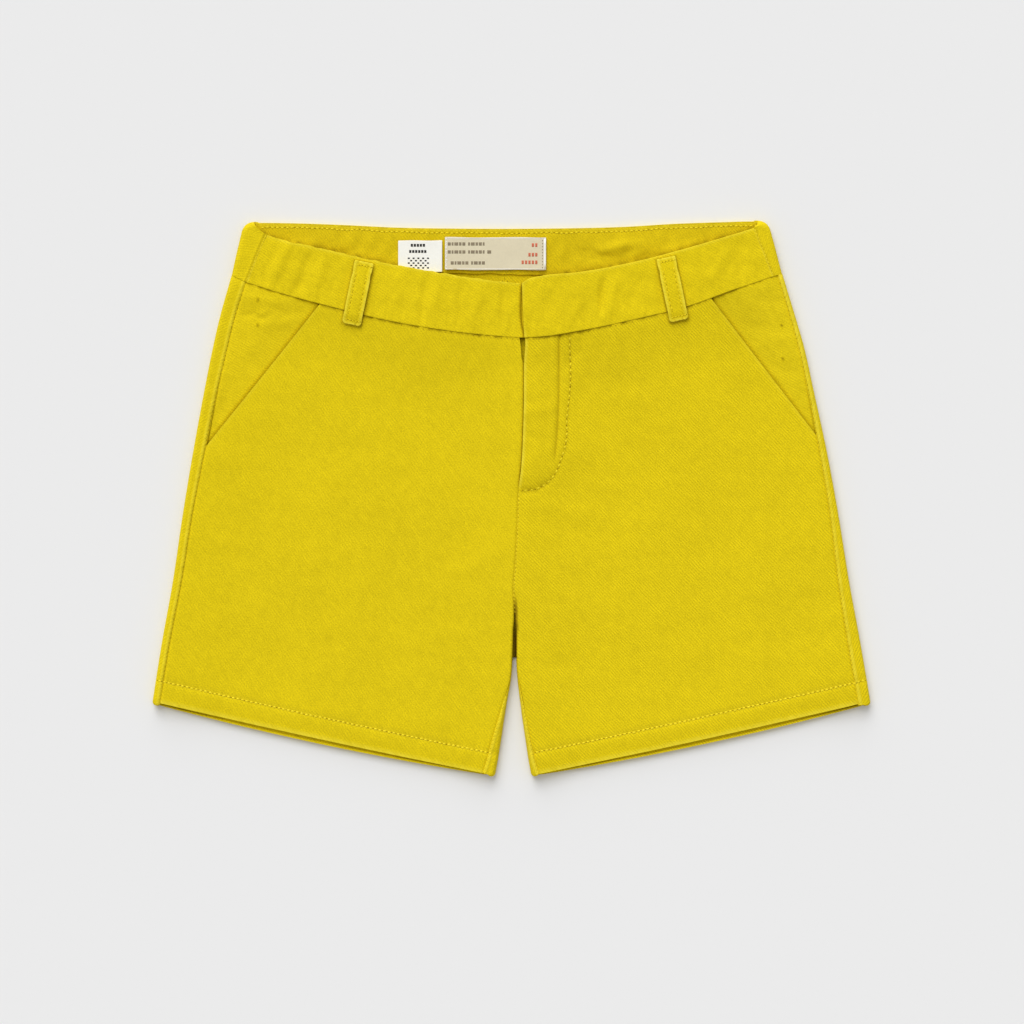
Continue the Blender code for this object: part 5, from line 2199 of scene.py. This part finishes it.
        places = spread(34, 0.3)
        below = LIP_DEPTH - 0.2
        grid, cuts = self.ring(places, low, high, LAYER + GAP, FACING_HANG, below)
        sheet = Sheet("waistband_back_facing")
        sheet.grid(grid, [HALF] * len(grid), cuts)
        self.facing = sheet.make(Finishes.inside, 0.15, Plan.inside_wear)

    def sew_top(self) -> None:
        """The row of stitches inside the band, just below its rolled edge."""
        x = np.linspace(-126.0, 123.0, 120)
        y = Plan.back_top(x) - self.stitched + 0.18 * wander(x, 22.0, 9)
        row = Needlework("band_top_stitching", 2.5, 0.72, 0.52, hole=(0.95, 0.55), seed=80)
        row.sew(np.column_stack([x, y]), Ground(self.facing))
        row.finish()

    def sew_sides(self) -> None:
        """The thread that shows down the band's side seams, more of it on the right."""
        for side, shown in ((Side.RIGHT, 1.0), (Side.LEFT, 0.6)):
            fold = Plan.band_fold[side]
            low, high = fold.meeting(Plan.waist[side], 1.0), fold.meeting(Plan.band_top[side], -0.8)
            path = np.array([fold.seam_point(height, -0.25) for height in np.linspace(low, high, 30)])
            name = "band_side_stitching_" + side.word
            seed = 120 + side.value
            row = Needlework(name, 1.9, 0.42, shown, thick=0.3, hole=(0.2, 0.2), wobble=0.03, seed=seed)
            row.sew(path, Ground(self.back, self.fronts[side]))
            row.finish()


@dataclass
class Fly:
    """The shield behind the fly, and the curved row of stitches beside it."""

    legs: dict

    def build(self) -> None:
        """Make the shield and sew the fly."""
        heights = np.linspace(80.2, SHIELD_FOOT, 34)
        shares = np.linspace(0, 1, 20)
        plan = np.zeros((len(heights), len(shares), 2))
        for i, height in enumerate(heights):
            left = float(Plan.fly(height)) - SHIELD_RIGHT
            plan[i, :, 0] = left + (SHIELD_LEFT + SHIELD_RIGHT) * shares
            plan[i, :, 1] = height
        x, y = plan[..., 0], plan[..., 1]
        below_right = Plan.front_lie(Side.RIGHT, np.minimum(x, Plan.fly(y) + 3.0), y)
        below_left = Plan.front_lie(Side.LEFT, x, y)
        sheet = Sheet("fly_shield")
        high = np.minimum(below_right, below_left) - LAYER - GAP * 3.0
        sheet.grid(stand(plan, high), [HALF] * len(plan))
        sheet.make(Finishes.hip, 0.2)
        left = Ground(self.legs[Side.LEFT].front)
        row = Needlework("fly_stitching", 3.2, 0.85, 0.45, hole=(1.0, 0.7), seed=90)
        row.sew(Plan.fly_stitching, left)
        row.finish()
        heights = np.linspace(FLY_FOOT - 1.0, FORK + 4.0, 60)
        row = Needlework("front_seam_stitching", 2.1, 0.4, 0.6, thick=0.25, hole=(0.7, 0.35), seed=94)
        row.sew(np.column_stack([Plan.fly(heights) + 0.45, heights]), left)
        row.finish()
        # Two rows of dark ovals beside the back seam: painted shade of needle pits.
        heights = np.linspace(111.0, 103.5, 20)
        inside = Ground(self.legs[Side.LEFT].back, self.legs[Side.RIGHT].back)
        row = Needlework("back_seam_pits", 2.3, hole=(1.0, 0.5), seed=96, bare=True)
        for off in (-1.2, 1.3):
            row.sew(np.column_stack([Plan.back_seam(heights) + off, heights]), inside)
        row.finish()


@dataclass
class BeltLoop:
    """A folded strip sewn flat at both ends, standing a little off the band between them."""

    side: Side
    stitch_inset: float = 2.1
    band_end: float = 0.84  # the share of its length that lies over the band
    arch: float = 0.5  # how far its middle stands off the band

    def __post_init__(self) -> None:
        """Read the loop's middle line."""
        strip = LOOPS[self.side]
        self.top = np.array([strip.top_x, strip.top_y])
        self.foot = np.array([strip.foot_x, strip.foot_y])
        self.length = float(np.linalg.norm(self.foot - self.top))
        self.along = (self.foot - self.top) / self.length
        self.across = np.array([-self.along[1], self.along[0]])

    def build(self) -> None:
        """Make and sew the loop."""
        self.loop = self.make_strip()
        self.sew()

    def make_strip(self) -> bpy.types.Object:
        """The strip itself, over the band and the front.

        Returns:
            The piece.
        """
        raised = GAP + LOOP_LAYERS
        off_band = BAND_LIE + 0.15 + raised + 0.2
        foot_high = Plan.front_top(self.side, self.foot[:1], self.foot[1:])
        off_front = float(foot_high[0]) + raised
        grid = [self.strip_row(share, off_band, off_front) for share in spread(64, 0.5)]
        sheet = Sheet("belt_loop_" + self.side.word)
        sheet.grid(np.array(grid), [LOOP_LAYERS - HALF] * len(grid))
        return sheet.make(Finishes.band, 0.45, self.wear)

    def strip_row(self, share: float, off_band: float, off_front: float) -> list[tuple]:
        """One row of points across the strip.

        Args:
            share: how far down the strip it lies.
            off_band: the strip's height over the band.
            off_front: its height over the front, at its foot.

        Returns:
            The points.
        """
        middle = self.top + (self.foot - self.top) * share
        arch = self.arch * math.sin(math.pi * min(share / self.band_end, 1))
        fall = float(ease((share - self.band_end) / (1 - self.band_end)))
        pinch = 1 - 0.07 * float(bell(share - 0.2, 0.06)) - 0.02 * float(bell(share - 0.8, 0.06))
        corner = float(rounded((1 - share) * self.length, 1.7) + rounded(share * self.length, 0.7))
        pinch -= 2 * corner / LOOP_WIDTH
        height = off_band + arch + (off_front - off_band) * fall
        row = []
        for place in np.linspace(-1, 1, 25):
            point = middle + self.across * LOOP_WIDTH / 2 * place * pinch
            edge = abs(place) * LOOP_WIDTH / 2
            furrow = -0.3 * float(bell(edge - (LOOP_WIDTH / 2 - self.stitch_inset), 0.7))
            swell = 0.15 * float(bell(share - 0.02, 0.03) + bell(share - 0.98, 0.03))
            row.append((*point, height + furrow + swell - 0.12 * place**8))
        return row

    def wear(self, points: np.ndarray) -> np.ndarray:
        """Paling of the loop along its sides and ends, partly rubbed and partly painted highlight."""
        across = np.abs((points[:, :2] - self.top) @ self.across)
        along = (points[:, :2] - self.top) @ self.along
        ends = bell(along, 0.9) + bell(along - self.length, 0.9)
        return 0.75 * np.clip(bell(across - LOOP_WIDTH / 2 + 0.3, 0.8) + ends, 0, 1)

    def sew(self) -> None:
        """Two rows down the loop, and one across each end."""
        ground = Ground(self.loop)
        name, seed = "belt_loop_stitching_" + self.side.word, 100 + self.side.value
        row = Needlework(name, 2.7, 0.5, 0.45, hole=(0.7, 0.5), seed=seed)
        half = LOOP_WIDTH / 2
        for sign in (-1, 1):
            beside = self.across * (half - self.stitch_inset) * sign
            start, end = (self.top + self.along * (d * self.length) + beside for d in (0.16, 0.86))
            row.sew(np.array([start, end]), ground)
        row.pitch = 1.6
        for along in (1.9, self.length - 1.9):
            middle = self.top + self.along * along
            ends = [middle + self.across * (half - 1.0) * sign for sign in (-1, 1)]
            row.sew(np.array(ends), ground)
        row.finish()


@dataclass
class Labels:
    """The two woven labels on the back facing, with plain motifs."""

    facing: bpy.types.Object
    mark_points: int = 6  # along each side of a mark
    mark_lift: float = 0.06
    mark_height: float = 3.6  # where a mark reaches past the tape
    mark_thickness: float = 0.1

    def build(self) -> None:
        """Make both labels and what is woven on them."""
        size = self.make_label("label_size", SIZE_LABEL, Finishes.white_tape)
        care = self.make_label("label_care", CARE_LABEL, Finishes.beige_tape)
        self.weave("label_size_motif", size, self.size_motif(), Finishes.black_weft)
        self.weave("label_care_dashes", care, self.care_dashes(), Finishes.brown_weft)
        self.weave("label_care_marks", care, self.care_marks(), Finishes.red_weft)
        self.weave("label_care_ends", care, self.care_ends(), Finishes.white_weft)

    def make_label(self, name: str, patch: Patch, finish: Plain) -> bpy.types.Object:
        """A label that lies on the facing, slightly wavy.

        Args:
            name: its name.
            patch: its edges.
            finish: its tape.

        Returns:
            The piece.
        """
        across = np.linspace(patch.left, patch.right, 60)
        down = np.linspace(patch.top, patch.foot, 24)
        plan = np.stack(np.meshgrid(across, down), axis=-1)
        plan[..., 1] += 0.15 * wander(plan[..., 0], 30.0, 51)
        high = FACING_LIE + LAYER + GAP + 0.3 + 0.08 * unevenness(plan[..., 0], plan[..., 1], 16.0, 52)
        sheet = Sheet(name)
        sheet.grid(stand(plan, high), [HALF - 0.2] * len(plan))
        return sheet.make(finish, 0.15)

    def size_motif(self) -> list[Patch]:
        """Two rows of dashes over a lattice of lozenges, for the small label."""
        marks = []
        for y, start, count in ((126.7, -50.4, 5), (123.6, -51.2, 6)):
            for step in range(count):
                left = start + 1.5 * step
                marks.append(Patch(left, left + 1.1, y - 0.7, y + 0.7))
        for row, y in enumerate((120.2, 119.0, 117.8, 116.6, 115.4)):
            odd = row % 2
            for step in range(5 - odd):
                x = -51.4 + 2.4 * step + 1.2 * odd
                marks.append(patch_round(x, y, 0.5, 0.35))
        return marks

    def care_dashes(self) -> list[Patch]:
        """Soft dark dashes in three rows for the wide label, and its fold line."""
        marks = []
        for y, start, end in ((127.4, -31.9, -13.0), (123.4, -31.9, -10.5), (117.9, -30.4, -14.4)):
            x, step = start, 0
            while x < end:
                width = (1.5, 0.9, 1.9, 1.2)[step % 4]
                marks.append(Patch(x, x + width, y - 0.8, y + 0.8))
                x, step = x + width + (1.4 if step % 5 == 4 else 0.45), step + 1
        fold = CARE_LABEL.right - 2.0
        marks += [Patch(fold, fold + 0.35, y, y + 0.7) for y in np.arange(115.2, 130.0, 1.5)]
        return marks

    def care_marks(self) -> list[Patch]:
        """Small red lozenges near the wide label's far end."""
        marks = []
        for y, count in ((126.8, 2), (122.0, 3), (118.2, 5)):
            for step in range(count):
                marks.append(patch_round(12.4 - 1.7 * step, y, 0.55, 0.9))
        return marks

    def care_ends(self) -> list[Patch]:
        """The white folded end of the wide label, its edges and its frayed other end."""
        left, right, foot, top = CARE_LABEL
        marks = [Patch(right - 1.1, right - 0.1, foot + 0.2, top - 0.2)]
        marks += [Patch(left + 0.3, right - 0.3, y, y + 0.3) for y in (foot + 0.25, top - 0.55)]
        for step, y in enumerate(np.arange(foot + 0.4, top - 0.8, 0.75)):
            marks.append(Patch(left + 0.1, left + (1.2, 0.6, 0.9)[step % 3], y, y + 0.4))
        return marks

    def weave(self, name: str, label: bpy.types.Object, marks: Sequence[Patch], finish: Plain) -> None:
        """Lay small woven marks on a label, all in one mesh.

        Args:
            name: the piece's name.
            label: what they are woven into.
            marks: their places.
            finish: their thread.
        """
        ground, count = Ground(label), self.mark_points
        points, faces = [], []
        for mark in marks:
            start = len(points)
            for y in np.linspace(mark.foot, mark.top, count):
                for x in np.linspace(mark.left, mark.right, count):
                    found = ground.under(x, y)
                    point, normal = found or (Vector((x, y, self.mark_height)), Vector((0, 0, 1)))
                    points.append(point + normal * self.mark_lift)
            for i in range(count - 1):
                for j in range(count - 1):
                    corner = start + i * count + j
                    faces.append([corner, corner + 1, corner + count + 1, corner + count])
        piece = new_piece(name, np.array(points), faces, finish)
        select_only(piece)
        wall = piece.modifiers.new("thread", "SOLIDIFY")
        wall.thickness = self.mark_thickness * MM
        bpy.ops.object.modifier_apply(modifier=wall.name)


class Sun(NamedTuple):
    """A broad light: its strength, how broad it is in degrees, and where it comes from."""

    name: str
    energy: float
    breadth: float
    place: tuple


@dataclass
class Studio:
    """The pale floor, the soft light and the camera straight above."""

    distance: float = 1.6
    focus_height: float = 0.005  # where the frame's width is measured
    frame_width: float = 0.512
    aim: tuple = (0.00025, -0.00675)
    floor_size: float = 6.0
    floor_grey: float = 0.82
    surround: float = 0.52
    suns: tuple = (
        Sun("sky", 1.55, 46.0, (-0.38, 0.92, 1.05)),
        Sun("window", 1.4, 50.0, (-0.12, 0.96, 0.30)),
    )

    def build(self) -> None:
        """Set up the floor, lights and camera."""
        self.make_floor()
        self.make_lights()
        self.make_camera()

    def make_floor(self) -> None:
        """A plain pale floor under the shorts."""
        bpy.ops.object.select_all(action="DESELECT")
        bpy.ops.mesh.primitive_plane_add(size=self.floor_size, location=(0, 0, 0))
        floor = bpy.context.object
        floor.name = "floor"
        shader = Shader("pale_floor")
        grey = (*[self.floor_grey] * 3, 1.0)
        shader.dress({"Base Color": grey, "Roughness": 0.9, "Specular IOR Level": 0.1})
        floor.data.materials.append(shader.material)

    def make_lights(self) -> None:
        """Two broad soft lights from beyond the waist, and an even pale surround."""
        world = bpy.data.worlds.new("surround")
        world.use_nodes = True
        backdrop = world.node_tree.nodes["Background"]
        backdrop.inputs["Color"].default_value = (1.0, 1.0, 1.0, 1.0)
        backdrop.inputs["Strength"].default_value = self.surround
        bpy.context.scene.world = world
        for sun in self.suns:
            data = bpy.data.lights.new(sun.name, "SUN")
            data.energy = sun.energy
            data.angle = math.radians(sun.breadth)
            light = bpy.data.objects.new(sun.name, data)
            light.rotation_euler = Vector(sun.place).to_track_quat("Z", "Y").to_euler()
            bpy.context.scene.collection.objects.link(light)

    def make_camera(self) -> None:
        """A long lens straight above the shorts."""
        data = bpy.data.cameras.new("camera")
        data.sensor_width = 36.0
        data.lens = data.sensor_width * (self.distance - self.focus_height) / self.frame_width
        data.clip_start, data.clip_end = 0.1, 10.0
        camera = bpy.data.objects.new("camera", data)
        camera.location = (*self.aim, self.distance)
        bpy.context.scene.collection.objects.link(camera)
        bpy.context.scene.camera = camera
        bpy.context.scene.view_settings.view_transform = "Standard"
        bpy.context.scene.view_settings.look = "None"


def main() -> None:
    """Build the shorts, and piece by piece."""
    logging.basicConfig(level=logging.INFO, format="%(message)s")
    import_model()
    Studio().build()
    legs = {side: Leg(side) for side in Side}
    for leg in legs.values():
        leg.build()
    band = Waistband()
    band.build()
    Fly(legs).build()
    for side in Side:
        BeltLoop(side).build()
    Labels(band.facing).build()


if __name__ == "__main__":
    main()
